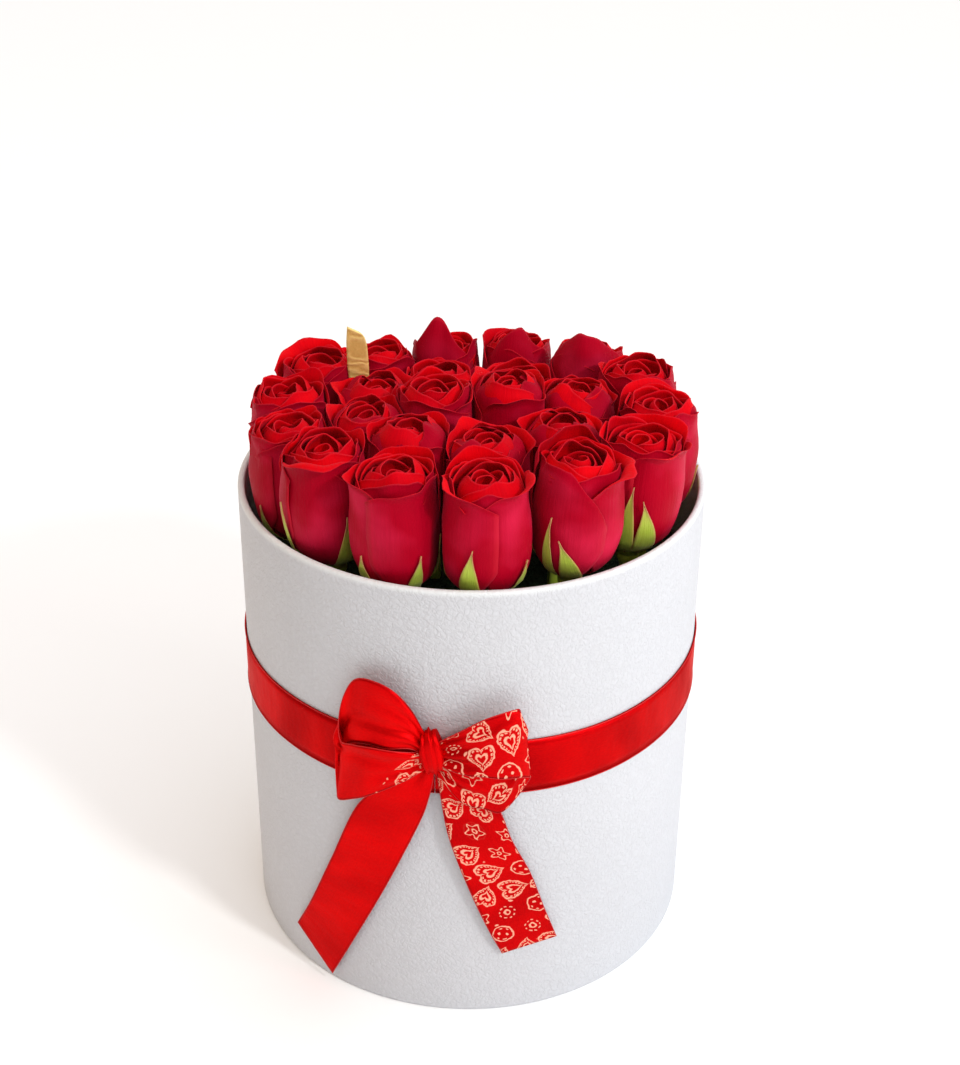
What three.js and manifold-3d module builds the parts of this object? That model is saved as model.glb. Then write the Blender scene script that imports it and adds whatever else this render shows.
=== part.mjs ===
// Flower hat box: a round paper-covered box packed with red roses and tied with a red satin ribbon and bow.
// Millimetres, +Z up, the bow faces -Y. The origin is the centre of the box's underside.

import * as THREE from "three";
import { mergeVertices } from "three/addons/utils/BufferGeometryUtils.js";
import Module from "manifold-3d";

const wasm = await Module();
wasm.setup();

// Box
const BOX_RADIUS = 96;
const BOX_HEIGHT = 207;
const WALL_THICKNESS = 2.8;
const BASE_THICKNESS = 2.5;
const ROUND_SIDES = 60;
const GAP = 0.3; // between pieces that touch
const INNER_RADIUS = BOX_RADIUS - WALL_THICKNESS;

// Waterproof lining cup and the foam in it
const LINER_THICKNESS = 0.8;
const LINER_TOP = 164;
const FOAM_TOP = 158;
const CUP_SIDES = 36;

// Ribbon
const RIBBON_WIDTH = 25;
const RIBBON_THICKNESS = 0.6;
const BAND_BOTTOM = 114.5;
const BAND_RADIUS = BOX_RADIUS + GAP;
const BOW_THICKNESS = 0.9;

// Roses
const ROSE_HEIGHT = 52; // from the calyx to the lips
const PETAL_THICKNESS = 0.9;
const STEM_RADIUS = 2.6;
const STEM_HOLE_RADIUS = 3.2;
const STEM_LENGTH_IN_FOAM = 48;
const SEPALS = 5; // and as many sides on the stem and calyx, one under each sepal
const SEPAL_THICKNESS = 1;
const ROOM_FOR_SEPALS = 2; // kept free round the lower half of each bloom
const BOX_FLARE = 0.12; // how fast the blooms may spread past the inside of the wall, per mm of height

// Each ring of roses: its radius at the lips, how far its roses lean outwards in degrees,
// and for each rose the direction in which it stands and the height of its lips.
const RINGS = [
  {
    radius: 76,
    lean: 4,
    roses: [
      [-163, 240], [-138, 245], [-112, 245], [-86, 246], [-58, 248], [-30, 245], [-5, 244],
      [24, 241], [49, 238], [75, 234], [99, 233], [123, 233], [149, 240], [174, 241],
    ],
  },
  {
    radius: 43.5,
    lean: 2,
    roses: [[-82, 244], [-34, 242], [10, 242], [63, 234], [109, 234], [158, 239], [-164, 241], [-124, 246]],
  },
  { radius: 15.5, lean: 0, roses: [[-172, 247], [14, 247]] },
];

// The gilded leaf stands between the blooms at the back left.
const GOLD_LEAF = { x: -47, y: 32.5, width: 9, bottom: 212, top: 257, thickness: 0.8 };

const radians = THREE.MathUtils.degToRad;
const smooth = THREE.MathUtils.smoothstep;
const clamp = THREE.MathUtils.clamp;

// A closed mesh, given as corners and triangles, as a solid that faces outwards.
function solidFrom(corners, triangles) {
  const vertProperties = new Float32Array(corners.flatMap((p) => [p.x, p.y, p.z]));
  const build = (tris) =>
    new wasm.Manifold(new wasm.Mesh({ numProp: 3, vertProperties, triVerts: new Uint32Array(tris.flat()) }));
  const made = build(triangles);
  return made.volume() > 0 ? made : build(triangles.map(([a, b, c]) => [a, c, b]));
}

// A closed three.js geometry as a solid.
function solidOf(geometry) {
  const bare = geometry.clone();
  bare.deleteAttribute("normal");
  bare.deleteAttribute("uv");
  const merged = mergeVertices(bare, 1e-4);
  const place = merged.getAttribute("position");
  const corner = (_, i) => new THREE.Vector3().fromBufferAttribute(place, i);
  const corners = Array.from({ length: place.count }, corner);
  const triangles = [];
  for (let i = 0; i < merged.index.count; i += 3) {
    const [a, b, c] = [0, 1, 2].map((k) => merged.index.getX(i + k));
    if (a !== b && b !== c && a !== c) triangles.push([a, b, c]);
  }
  return solidFrom(corners, triangles);
}

// Joins solids that grow into each other, and fills any pocket that this seals.
function fuse(solids) {
  const joined = solids.reduce((whole, piece) => whole.add(piece)).simplify(0.02);
  return joined.decompose().reduce((largest, body) => (body.volume() > largest.volume() ? body : largest));
}

function geometryOf(solid) {
  const mesh = solid.getMesh();
  const geometry = new THREE.BufferGeometry();
  geometry.setAttribute("position", new THREE.BufferAttribute(mesh.vertProperties, mesh.numProp));
  geometry.setIndex(new THREE.BufferAttribute(mesh.triVerts, 1));
  geometry.computeVertexNormals();
  return geometry;
}

// Revolves a list of [radius, height] points round the Z axis.
function revolved(points, sides) {
  const profile = points.map(([radius, height]) => new THREE.Vector2(radius, height));
  return new THREE.LatheGeometry(profile, sides).rotateX(Math.PI / 2);
}

function ring(inner, outer, bottom, top, sides) {
  return revolved([[inner, bottom], [outer, bottom], [outer, top], [inner, top], [inner, bottom]], sides);
}

function disc(radius, bottom, top, sides) {
  return revolved([[0, bottom], [radius, bottom], [radius, top], [0, top]], sides);
}

// A thin sheet between two grids of points, front[row][column] and back[row][column], closed along its edges.
function sheet(front, back) {
  const rows = front.length;
  const columns = front[0].length;
  const corners = [...front.flat(), ...back.flat()];
  const at = (side, row, column) => (side * rows + row) * columns + column;
  const triangles = [];
  const quad = (a, b, c, d) => triangles.push([a, b, c], [a, c, d]);
  for (let row = 0; row + 1 < rows; row += 1) {
    for (let column = 0; column + 1 < columns; column += 1) {
      quad(at(0, row, column), at(0, row, column + 1), at(0, row + 1, column + 1), at(0, row + 1, column));
      // The back is split along the same diagonal as the front.
      const [a, b, c, d] = [
        at(1, row, column), at(1, row + 1, column), at(1, row + 1, column + 1), at(1, row, column + 1),
      ];
      triangles.push([a, b, c], [a, c, d]);
    }
  }
  for (let column = 0; column + 1 < columns; column += 1) {
    quad(at(0, 0, column + 1), at(0, 0, column), at(1, 0, column), at(1, 0, column + 1));
    const top = rows - 1;
    quad(at(0, top, column), at(0, top, column + 1), at(1, top, column + 1), at(1, top, column));
  }
  for (let row = 0; row + 1 < rows; row += 1) {
    quad(at(0, row, 0), at(0, row + 1, 0), at(1, row + 1, 0), at(1, row, 0));
    const side = columns - 1;
    quad(at(0, row + 1, side), at(0, row, side), at(1, row, side), at(1, row + 1, side));
  }
  return solidFrom(corners, triangles);
}

// A repeatable random number between -1 and 1 for the given rose and feature.
function wobble(seed, feature) {
  const wave = Math.sin(seed * 127.1 + feature * 311.7) * 43758.5453;
  return 2 * (wave - Math.floor(wave)) - 1;
}

// Each rose has an axis from its calyx to the middle of its lips. Angles round it are world directions.
function roseOf(radius, lean, [direction, lipHeight], index) {
  const out = new THREE.Vector3(Math.cos(radians(direction)), Math.sin(radians(direction)), 0);
  const up = new THREE.Vector3(0, 0, 1).multiplyScalar(Math.cos(radians(lean)));
  up.addScaledVector(out, Math.sin(radians(lean)));
  const lips = out.clone().multiplyScalar(radius).setZ(lipHeight);
  const foot = lips.addScaledVector(up, -ROSE_HEIGHT);
  const east = new THREE.Vector3(1, 0, 0).addScaledVector(up, -up.x).normalize();
  const north = new THREE.Vector3().crossVectors(up, east);
  const turn = Math.PI * wobble(index, 3);
  const outermost = radius === RINGS[0].radius;
  return { index, direction: radians(direction), turn, foot, up, east, north, outermost, planes: [] };
}

const roses = RINGS.flatMap(({ radius, lean, roses: places }) => places.map((place) => [radius, lean, place]))
  .map(([radius, lean, place], index) => roseOf(radius, lean, place, index + 1));

function placeOn(rose, angle, height, radius) {
  return rose.foot.clone()
    .addScaledVector(rose.up, height)
    .addScaledVector(rose.east, radius * Math.cos(angle))
    .addScaledVector(rose.north, radius * Math.sin(angle));
}

// Neighbouring roses press against each other along a flat plane halfway between their axes.
// No corner of a rose passes its planes, so two roses never cross.
function partNeighbours(one, other) {
  const [a, b] = [one, other].map((rose) => placeOn(rose, 0, ROSE_HEIGHT * 0.7, 0));
  const along = one.up.clone().add(other.up).normalize();
  const normal = b.clone().sub(a);
  normal.addScaledVector(along, -normal.dot(along)).normalize();
  const middle = a.clone().add(b).multiplyScalar(0.5);
  const offset = normal.clone().multiplyScalar(GAP / 2);
  one.planes.push({ normal, point: middle.clone().sub(offset) });
  other.planes.push({ normal: normal.clone().negate(), point: middle.clone().add(offset) });
}
roses.forEach((one, i) => roses.slice(i + 1).forEach((other) => partNeighbours(one, other)));

// The gilded leaf keeps the same kind of plane off each bloom, at each of a few posts along its width.
function keepOffGoldLeaf(rose) {
  for (const share of [-0.5, 0, 0.5]) {
    const post = new THREE.Vector3(GOLD_LEAF.x + share * GOLD_LEAF.width, GOLD_LEAF.y, 0);
    const normal = post.clone().sub(rose.foot).setZ(0).normalize();
    rose.planes.push({ normal, point: post.addScaledVector(normal, -GOLD_LEAF.thickness / 2 - 2 * GAP) });
  }
}
roses.forEach(keepOffGoldLeaf);

// How far a rose may spread from its axis in one direction at one height.
function reach(rose, angle, height) {
  const centre = placeOn(rose, 0, height, 0);
  const way = placeOn(rose, angle, height, 1).sub(centre);
  let limit = Infinity;
  for (const { normal, point } of rose.planes) {
    const slope = normal.dot(way);
    if (slope > 1e-3) limit = Math.min(limit, point.clone().sub(centre).dot(normal) / slope);
  }
  // The inside of the wall, as a cone that opens a little upwards.
  const inside = INNER_RADIUS - 2 * GAP + BOX_FLARE * (centre.z - BOX_HEIGHT);
  const flat = way.x * way.x + way.y * way.y;
  const along = centre.x * way.x + centre.y * way.y;
  const left = centre.x * centre.x + centre.y * centre.y - inside * inside;
  return Math.min(limit, (Math.sqrt(along * along - flat * left) - along) / flat);
}

// The smaller of two lengths, rounded where they are nearly equal.
function softMinimum(a, b) {
  const sharpness = 8;
  return (a ** -sharpness + b ** -sharpness) ** (-1 / sharpness);
}

// A bloom's natural radius, pressed in where its neighbours or the wall are near.
function pressed(rose, angle, height, radius) {
  const room = ROOM_FOR_SEPALS * (1 - smooth(height, 0.6 * ROSE_HEIGHT, 0.85 * ROSE_HEIGHT));
  return softMinimum(radius, reach(rose, angle, height) - room);
}

// A bloom is one closed surface. It runs from the calyx up the outside of the outer petals, over their lips
// and down inside them, up and over the middle petals, and on to the rolled bud and the hollow in its middle.
// Each outer petal has a few columns of corners, from the edge that covers its neighbour to its tucked edge.
const OUTER_PETALS = 4;
const MIDDLE_PETALS = 2;
const PETAL_COLUMNS = [0, 0.36, 0.7, 0.97];
const OUTER_TUCK = 2;
const MIDDLE_TUCK = 1.6;
const BUD_TUCK = 1.8;
const COLUMNS = OUTER_PETALS * PETAL_COLUMNS.length;

// The outside of a bloom below its lips, as [share of its height, free radius], from its foot to its waist.
const OUTSIDE = [[0, 4], [0.14, 11], [0.36, 16.3], [0.66, 17]];

// The crest of an outer petal, where its lip begins. Curl is how much more the middle of the petal has.
const CREST = { share: 0.84, shareCurl: 0.1, radius: 17.6, radiusCurl: 1.2 };
const LIP = { length: 4, radius: 18.2, radiusCurl: 4.5 };

// A bloom opens further where it has more room than full, by up to most; lip and crest take these shares.
const SPREAD = { full: 19, most: 8, crest: 0.6, lip: 0.8 };

// The inner layers. Grooves and the hollow are depths between the layers, as shares of the rose's height.
const MIDDLE = { radius: 12, share: 0.9, shareCurl: 0.07 };
const BUD = { radius: 6.5, share: 0.96, shareCurl: 0.04 };
const OUTER_GROOVE = { radius: 12.6, share: 0.55 };
const INNER_GROOVE = { radius: 8.2, share: 0.66 };
const HOLLOW_SHARE = 0.84;
const UNEVENNESS = 0.02; // of the petal tops, as a share of the rose's height

// Highest in the middle of a petal and lowest at its edges.
function arch(across) {
  return 1 - (2 * across - 1) ** 2;
}

// Where a column of corners stands: across its own petal from 0 to 1, and round the bloom.
function columnPlace(rose, column) {
  const number = Math.floor(column / PETAL_COLUMNS.length);
  const across = PETAL_COLUMNS[column % PETAL_COLUMNS.length];
  return { number, across, angle: rose.turn + (2 * Math.PI * (number + across)) / OUTER_PETALS };
}

// The outside of the petals at one column and one share of the rose's height, from their free radius there.
function outerRadius(rose, { across, angle }, share, radius) {
  const tuck = OUTER_TUCK * across * across * smooth(share, 0.1, 0.3);
  return pressed(rose, angle, share * ROSE_HEIGHT, radius) - tuck;
}

// The lip of an outer petal at one column, from its crest outside to its crest inside, as [radius, height].
// It rolls outwards where it has room, and stands up where it is pressed.
function lipCorners(rose, place) {
  const seed = rose.index * 10 + place.number;
  const curl = arch(place.across);
  const share = CREST.share + CREST.shareCurl * curl + UNEVENNESS * wobble(seed, 1);
  const height = share * ROSE_HEIGHT;
  const spare = clamp(reach(rose, place.angle, height) - SPREAD.full, 0, SPREAD.most);
  const crestFree = CREST.radius + (CREST.radiusCurl + SPREAD.crest * spare) * curl;
  const radius = outerRadius(rose, place, share, crestFree);
  const lipFree = LIP.radius + (LIP.radiusCurl + SPREAD.lip * spare + wobble(seed, 2)) * curl;
  const lipRadius = outerRadius(rose, place, share + LIP.length / ROSE_HEIGHT, lipFree);
  const outwards = clamp((lipRadius - radius) / LIP.length, 0, 0.95);
  const upwards = Math.sqrt(1 - outwards * outwards);
  const lip = [radius + LIP.length * outwards, height + LIP.length * upwards];
  return [
    [radius, height],
    lip,
    [lip[0] - PETAL_THICKNESS * upwards, lip[1] + PETAL_THICKNESS * outwards],
    [radius - PETAL_THICKNESS, height + 0.5 * PETAL_THICKNESS * outwards],
  ];
}

// The middle petals and the bud at one column. They shrink with the outer petals where neighbours press them.
function innerCorners(rose, place, column) {
  const [waistShare, waistRadius] = OUTSIDE.at(-1);
  const squeeze = pressed(rose, place.angle, waistShare * ROSE_HEIGHT, waistRadius) / waistRadius;
  const across = ((column * MIDDLE_PETALS) / COLUMNS) % 1;
  const radius = (MIDDLE.radius - MIDDLE_TUCK * across) * squeeze;
  const uneven = UNEVENNESS * wobble(rose.index * 10, 3 + column);
  const share = MIDDLE.share + MIDDLE.shareCurl * arch(across) + uneven;
  const turned = column / COLUMNS;
  const budRadius = (BUD.radius - BUD_TUCK * turned) * squeeze;
  return [
    [OUTER_GROOVE.radius * squeeze, OUTER_GROOVE.share * ROSE_HEIGHT],
    [radius, share * ROSE_HEIGHT],
    [radius - 1.2 * PETAL_THICKNESS, share * ROSE_HEIGHT - 0.5 * PETAL_THICKNESS],
    [INNER_GROOVE.radius * squeeze, INNER_GROOVE.share * ROSE_HEIGHT],
    [budRadius, (BUD.share + BUD.shareCurl * turned) * ROSE_HEIGHT],
  ];
}

// The corners of one column of the bloom, from the calyx to the hollow.
function bloomColumn(rose, column) {
  const place = columnPlace(rose, column);
  const outside = OUTSIDE.slice(1).map(([share, free]) => {
    return [outerRadius(rose, place, share, free), share * ROSE_HEIGHT];
  });
  const foot = [OUTSIDE[0][1], GAP];
  const corners = [foot, ...outside, ...lipCorners(rose, place), ...innerCorners(rose, place, column)];
  return corners.map(([radius, height]) => placeOn(rose, place.angle, height, radius));
}

function bloom(rose) {
  const columns = Array.from({ length: COLUMNS }, (_, column) => bloomColumn(rose, column));
  const levels = columns[0].length;
  const corners = columns.flat();
  const at = (column, level) => (column % COLUMNS) * levels + level;
  const bottom = corners.length;
  const hollow = bottom + 1;
  corners.push(placeOn(rose, 0, GAP, 0), placeOn(rose, 0, HOLLOW_SHARE * ROSE_HEIGHT, 0));
  const triangles = [];
  for (let column = 0; column < COLUMNS; column += 1) {
    triangles.push([bottom, at(column + 1, 0), at(column, 0)]);
    for (let level = 0; level + 1 < levels; level += 1) {
      const [a, b] = [at(column, level), at(column + 1, level)];
      const [c, d] = [at(column + 1, level + 1), at(column, level + 1)];
      triangles.push([a, b, c], [a, c, d]);
    }
    triangles.push([at(column, levels - 1), at(column + 1, levels - 1), hollow]);
  }
  return solidFrom(corners, triangles);
}

// The outline of the bloom's facets at each level below its lips, as [radius, angle] corners.
for (const rose of roses) {
  rose.outline = OUTSIDE.map(([share, free]) => ({
    share,
    corners: Array.from({ length: COLUMNS }, (_, column) => {
      const place = columnPlace(rose, column);
      return [outerRadius(rose, place, share, free), place.angle];
    }),
  }));
}

// The distance from the rose's axis to the facets of its bloom, in one direction at one share of its height.
function bloomRadius(rose, angle, share) {
  const next = rose.outline.findIndex((level) => level.share > share);
  const [below, above] = [rose.outline[next - 1], rose.outline[next]];
  const along = (share - below.share) / (above.share - below.share);
  return THREE.MathUtils.lerp(facetRadius(below.corners, angle), facetRadius(above.corners, angle), along);
}

// The distance from the axis to a polygon, given as [radius, angle] corners, in one direction.
function facetRadius(corners, angle) {
  const turned = (from, to) => THREE.MathUtils.euclideanModulo(to - from, 2 * Math.PI);
  const nearest = (measure) => corners.reduce((best, next) => (measure(next) < measure(best) ? next : best));
  const ahead = nearest((corner) => turned(angle, corner[1]));
  const behind = nearest((corner) => turned(corner[1], angle));
  if (ahead === behind) return ahead[0];
  const [right, left] = [turned(behind[1], angle), turned(angle, ahead[1])];
  const area = behind[0] * ahead[0] * Math.sin(right + left);
  return area / (behind[0] * Math.sin(right) + ahead[0] * Math.sin(left));
}

// The closest that a flat strip of the given half width comes to the axis where it lies on the bloom.
const TYPICAL_RADIUS = 14;
function strapDistance(rose, angle, share, halfWidth) {
  const samples = 6;
  let distance = 0;
  for (let step = -samples; step <= samples; step += 1) {
    const turn = Math.atan2((halfWidth * step) / samples, TYPICAL_RADIUS);
    distance = Math.max(distance, bloomRadius(rose, angle + turn, share) * Math.cos(turn));
  }
  return distance + 1.5 * GAP;
}

// A sepal: a slim keeled blade that grows from the calyx and follows the outside of the bloom.
function sepal(rose, number) {
  const angle = rose.turn + (2 * Math.PI * number) / SEPALS;
  const towardsWall = rose.outermost ? Math.max(0, Math.cos(angle - rose.direction)) : 0;
  const length = 0.48 + 0.06 * wobble(rose.index, 50 + number) + 0.1 * towardsWall;
  const stations = [{ share: -0.05, distance: 3.4, halfWidth: 1.6 }];
  for (const [share, halfWidth] of [[0.14, 2.7], [0.36, 2], [length, 0]]) {
    stations.push({ share, distance: strapDistance(rose, angle, share, halfWidth), halfWidth });
  }
  const spot = (share, distance, aside) => {
    const radius = Math.hypot(distance, aside);
    return placeOn(rose, angle + Math.atan2(aside, distance), share * ROSE_HEIGHT, radius);
  };
  const corners = [];
  for (const { share, distance, halfWidth } of stations.slice(0, -1)) {
    corners.push(spot(share, distance, -halfWidth));
    corners.push(spot(share, distance + SEPAL_THICKNESS, 0));
    corners.push(spot(share, distance, halfWidth));
  }
  const tip = corners.length;
  corners.push(spot(length, stations.at(-1).distance + SEPAL_THICKNESS / 2, 0));
  const triangles = [[0, 1, 2]];
  for (let level = 0; level < stations.length - 2; level += 1) {
    const low = 3 * level;
    for (let side = 0; side < 3; side += 1) {
      const next = (side + 1) % 3;
      triangles.push([low + side, low + 3 + side, low + 3 + next]);
      triangles.push([low + side, low + 3 + next, low + next]);
    }
  }
  const last = tip - 3;
  triangles.push([last, tip, last + 1], [last + 1, tip, last + 2], [last + 2, tip, last]);
  return solidFrom(corners, triangles);
}

// How far below its calyx a rose's stem ends, along the rose's axis.
function stemLength(rose) {
  return (rose.foot.z - FOAM_TOP) / rose.up.z + STEM_LENGTH_IN_FOAM;
}

// A turned shape on a rose's own axis, with one flat side under each sepal.
function onRoseAxis(rose, points) {
  const firstSide = rose.turn + Math.PI / 2 - Math.PI / SEPALS;
  const turn = new THREE.Matrix4().makeBasis(rose.east, rose.north, rose.up).setPosition(rose.foot);
  return solidOf(revolved(points, SEPALS).rotateZ(firstSide).applyMatrix4(turn));
}

function stem(rose) {
  const end = -stemLength(rose);
  const calyx = [[STEM_RADIUS, -10], [5, -4], [4.6, 0], [0, 0]];
  const stalk = onRoseAxis(rose, [[0, end], [STEM_RADIUS, end], ...calyx]);
  const sepals = Array.from({ length: SEPALS }, (_, number) => sepal(rose, number));
  return fuse([stalk, ...sepals]);
}

function foam() {
  const radius = INNER_RADIUS - LINER_THICKNESS - 3 * GAP;
  const bottom = BASE_THICKNESS + LINER_THICKNESS + 2 * GAP;
  const block = disc(radius, bottom, FOAM_TOP, CUP_SIDES);
  const holes = roses.map((rose) => {
    const end = -stemLength(rose) - GAP;
    return onRoseAxis(rose, [[0, end], [STEM_HOLE_RADIUS, end], [STEM_HOLE_RADIUS, 0], [0, 0]]);
  });
  return geometryOf(holes.reduce((left, hole) => left.subtract(hole), solidOf(block)));
}

function liner() {
  const outer = INNER_RADIUS - 2 * GAP;
  const bottom = BASE_THICKNESS + GAP;
  const inner = outer - LINER_THICKNESS;
  return revolved([
    [0, bottom], [outer, bottom], [outer, LINER_TOP], [inner, LINER_TOP], [inner, bottom + LINER_THICKNESS],
    [0, bottom + LINER_THICKNESS],
  ], CUP_SIDES);
}

function band() {
  const top = BAND_BOTTOM + RIBBON_WIDTH;
  return ring(BAND_RADIUS, BAND_RADIUS + RIBBON_THICKNESS, BAND_BOTTOM, top, ROUND_SIDES);
}

// A place in front of the band: x across, how far it stands off the band, and its height.
function offBand([x, standOff, height]) {
  const radius = BAND_RADIUS + RIBBON_THICKNESS + standOff;
  return new THREE.Vector3(x, -Math.sqrt(radius * radius - x * x), height);
}

// Each length of the bow's ribbon, as the two edges of the ribbon at a few places along it.
const BOW_STRIPS = {
  leftLoopBack: [
    [[-19, 4, 141], [-19, 5, 134]], [[-23, 7, 156], [-27, 10, 142]], [[-30, 9, 164], [-34, 12, 143]],
    [[-38, 7.5, 167], [-43, 10, 143]], [[-45.5, 4.5, 165], [-50.5, 6, 141]],
  ],
  leftLoopFront: [
    [[-19, 6, 139], [-19, 5, 130]], [[-27, 12, 142], [-26, 8, 122]], [[-34, 13, 144], [-34, 9, 116]],
    [[-43, 11, 142.5], [-43, 8, 112]], [[-49, 6.2, 146], [-52.5, 4, 108.5]],
  ],
  rightLoopFront: [
    [[-11, 5, 143], [-11, 5, 132]], [[-3, 9, 151], [-3, 10, 129]], [[6, 10, 157], [6, 11, 128]],
    [[14, 8, 159.5], [15, 9, 127]], [[19, 5, 159.5], [21.5, 5.5, 127]],
  ],
  rightLoopBack: [
    [[-11, 3.5, 140], [-11, 3, 126]], [[0, 5, 140], [0, 4, 113]], [[11, 5, 138], [12.5, 4, 106.5]],
    [[19, 5.3, 133], [18, 4, 114]], [[20.3, 5.2, 131], [24, 4, 124]],
  ],
  leftTail: [
    [[-22, 3, 136], [-13, 2.5, 131]], [[-34, 4, 117], [-17, 5, 113]], [[-42, 3, 101], [-21, 4, 101]],
    [[-56, 2, 70], [-34, 2.5, 73]], [[-75, 1.6, 22], [-58, 1.6, 8]],
  ],
  rightTail: [
    [[-14, 1.8, 133], [-9, 1.8, 133]], [[-11, 2, 117], [10, 1.8, 113]], [[-8, 2.5, 94], [17, 2.5, 92]],
    [[0.5, 2, 70], [24.5, 2, 73]], [[15, 1.6, 31], [36.5, 1.6, 38]],
  ],
};
const KNOT = { x: -15.5, standOff: 6.2, height: 137.5, halfWidth: 6, halfDepth: 5.6, halfHeight: 10 };

function ribbonStrip(stations) {
  const front = stations.map((edges) => edges.map(offBand));
  const behind = ([x, standOff, height]) => offBand([x, standOff - BOW_THICKNESS, height]);
  const back = stations.map((edges) => edges.map(behind));
  return sheet(front, back);
}

function bow() {
  const knot = new THREE.SphereGeometry(1, 8, 6).scale(KNOT.halfWidth, KNOT.halfDepth, KNOT.halfHeight);
  const place = offBand([KNOT.x, KNOT.standOff, KNOT.height]);
  knot.translate(place.x, place.y, place.z);
  return geometryOf(fuse([solidOf(knot), ...Object.values(BOW_STRIPS).map(ribbonStrip)]));
}

// A slim curved blade with a blunt point, gilded on both faces.
function goldLeaf() {
  const { x, y, width, bottom, top, thickness } = GOLD_LEAF;
  const outline = [[0, 0.35], [0.3, 0.8], [0.7, 1], [0.9, 0.85], [1, 0.35]];
  const front = [];
  const back = [];
  for (const [share, spread] of outline) {
    const height = bottom + share * (top - bottom);
    const half = (spread * width) / 2;
    const edges = [x - half - 1.5 * share, x + half - 1.5 * share];
    front.push(edges.map((across) => new THREE.Vector3(across, y - thickness / 2, height)));
    back.push(edges.map((across) => new THREE.Vector3(across, y + thickness / 2, height)));
  }
  return geometryOf(sheet(front, back));
}

const materials = {
  boxPaper: new THREE.MeshStandardMaterial({ color: 0xe1e1e4, roughness: 0.6, metalness: 0 }),
  liner: new THREE.MeshStandardMaterial({ color: 0xd8dcd8, roughness: 0.3, metalness: 0 }),
  foam: new THREE.MeshStandardMaterial({ color: 0x2f5a38, roughness: 0.95, metalness: 0 }),
  satin: new THREE.MeshStandardMaterial({ color: 0xc80c0c, roughness: 0.35, metalness: 0 }),
  petal: new THREE.MeshStandardMaterial({ color: 0xb40020, roughness: 0.6, metalness: 0 }),
  green: new THREE.MeshStandardMaterial({ color: 0x8ca514, roughness: 0.6, metalness: 0 }),
  gold: new THREE.MeshStandardMaterial({ color: 0xcda546, roughness: 0.4, metalness: 0.6 }),
};

const flowerHatBox = new THREE.Group();

function addPiece(name, geometry, material) {
  const mesh = new THREE.Mesh(geometry, material);
  mesh.name = name;
  flowerHatBox.add(mesh);
}

addPiece("box_wall", ring(INNER_RADIUS, BOX_RADIUS, 0, BOX_HEIGHT, ROUND_SIDES), materials.boxPaper);
addPiece("box_base", disc(INNER_RADIUS - GAP, 0, BASE_THICKNESS, ROUND_SIDES), materials.boxPaper);
addPiece("liner", liner(), materials.liner);
addPiece("foam", foam(), materials.foam);
addPiece("ribbon_band", band(), materials.satin);
addPiece("bow", bow(), materials.satin);
addPiece("gold_leaf", goldLeaf(), materials.gold);
for (const rose of roses) {
  const number = String(rose.index).padStart(2, "0");
  addPiece("rose_" + number + "_bloom", geometryOf(bloom(rose)), materials.petal);
  addPiece("rose_" + number + "_stem", geometryOf(stem(rose)), materials.green);
}

export default flowerHatBox;
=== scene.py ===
from math import cos, exp, pi, radians, sin, tau

import bmesh
import bpy
import numpy as np
from mathutils import Matrix, Vector


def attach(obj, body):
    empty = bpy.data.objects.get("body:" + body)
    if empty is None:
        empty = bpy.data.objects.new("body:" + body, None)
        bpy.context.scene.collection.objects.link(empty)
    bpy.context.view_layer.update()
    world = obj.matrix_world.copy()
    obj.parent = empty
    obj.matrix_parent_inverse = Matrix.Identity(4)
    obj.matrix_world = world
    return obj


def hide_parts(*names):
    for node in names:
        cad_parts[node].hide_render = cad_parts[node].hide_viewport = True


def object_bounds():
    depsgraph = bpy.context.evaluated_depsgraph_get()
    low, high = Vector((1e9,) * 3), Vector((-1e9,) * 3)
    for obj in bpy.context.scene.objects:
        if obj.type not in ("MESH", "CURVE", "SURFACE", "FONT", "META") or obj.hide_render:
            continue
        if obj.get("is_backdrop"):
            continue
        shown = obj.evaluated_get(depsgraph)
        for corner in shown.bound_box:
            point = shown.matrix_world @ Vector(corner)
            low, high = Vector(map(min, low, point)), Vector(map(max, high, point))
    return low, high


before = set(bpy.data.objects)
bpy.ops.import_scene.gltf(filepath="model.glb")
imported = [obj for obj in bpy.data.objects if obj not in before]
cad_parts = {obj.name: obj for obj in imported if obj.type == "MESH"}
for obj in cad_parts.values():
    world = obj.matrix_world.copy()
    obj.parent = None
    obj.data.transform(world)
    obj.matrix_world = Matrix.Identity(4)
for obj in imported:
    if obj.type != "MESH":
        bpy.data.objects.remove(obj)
cad_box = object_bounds()

# The camera.
# It stands in front of the box and a little above it, and looks down at it. Its place, tilt and lens were
# fitted to the rim, the foot and the ribbon of the box in the photograph.
CAMERA_PLACE = (0.0, -0.65416, 0.54973)
CAMERA_PITCH = radians(29.61)
CAMERA_YAW = radians(0.32)
CAMERA_ROLL = radians(0.53)
CAMERA_LENS = 60.43
SENSOR_WIDTH = 36.0
NEAREST_SEEN = 0.01


def add_object(name, data):
    """A new object of the scene, at the origin."""
    added = bpy.data.objects.new(name, data)
    bpy.context.scene.collection.objects.link(added)
    return added


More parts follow.
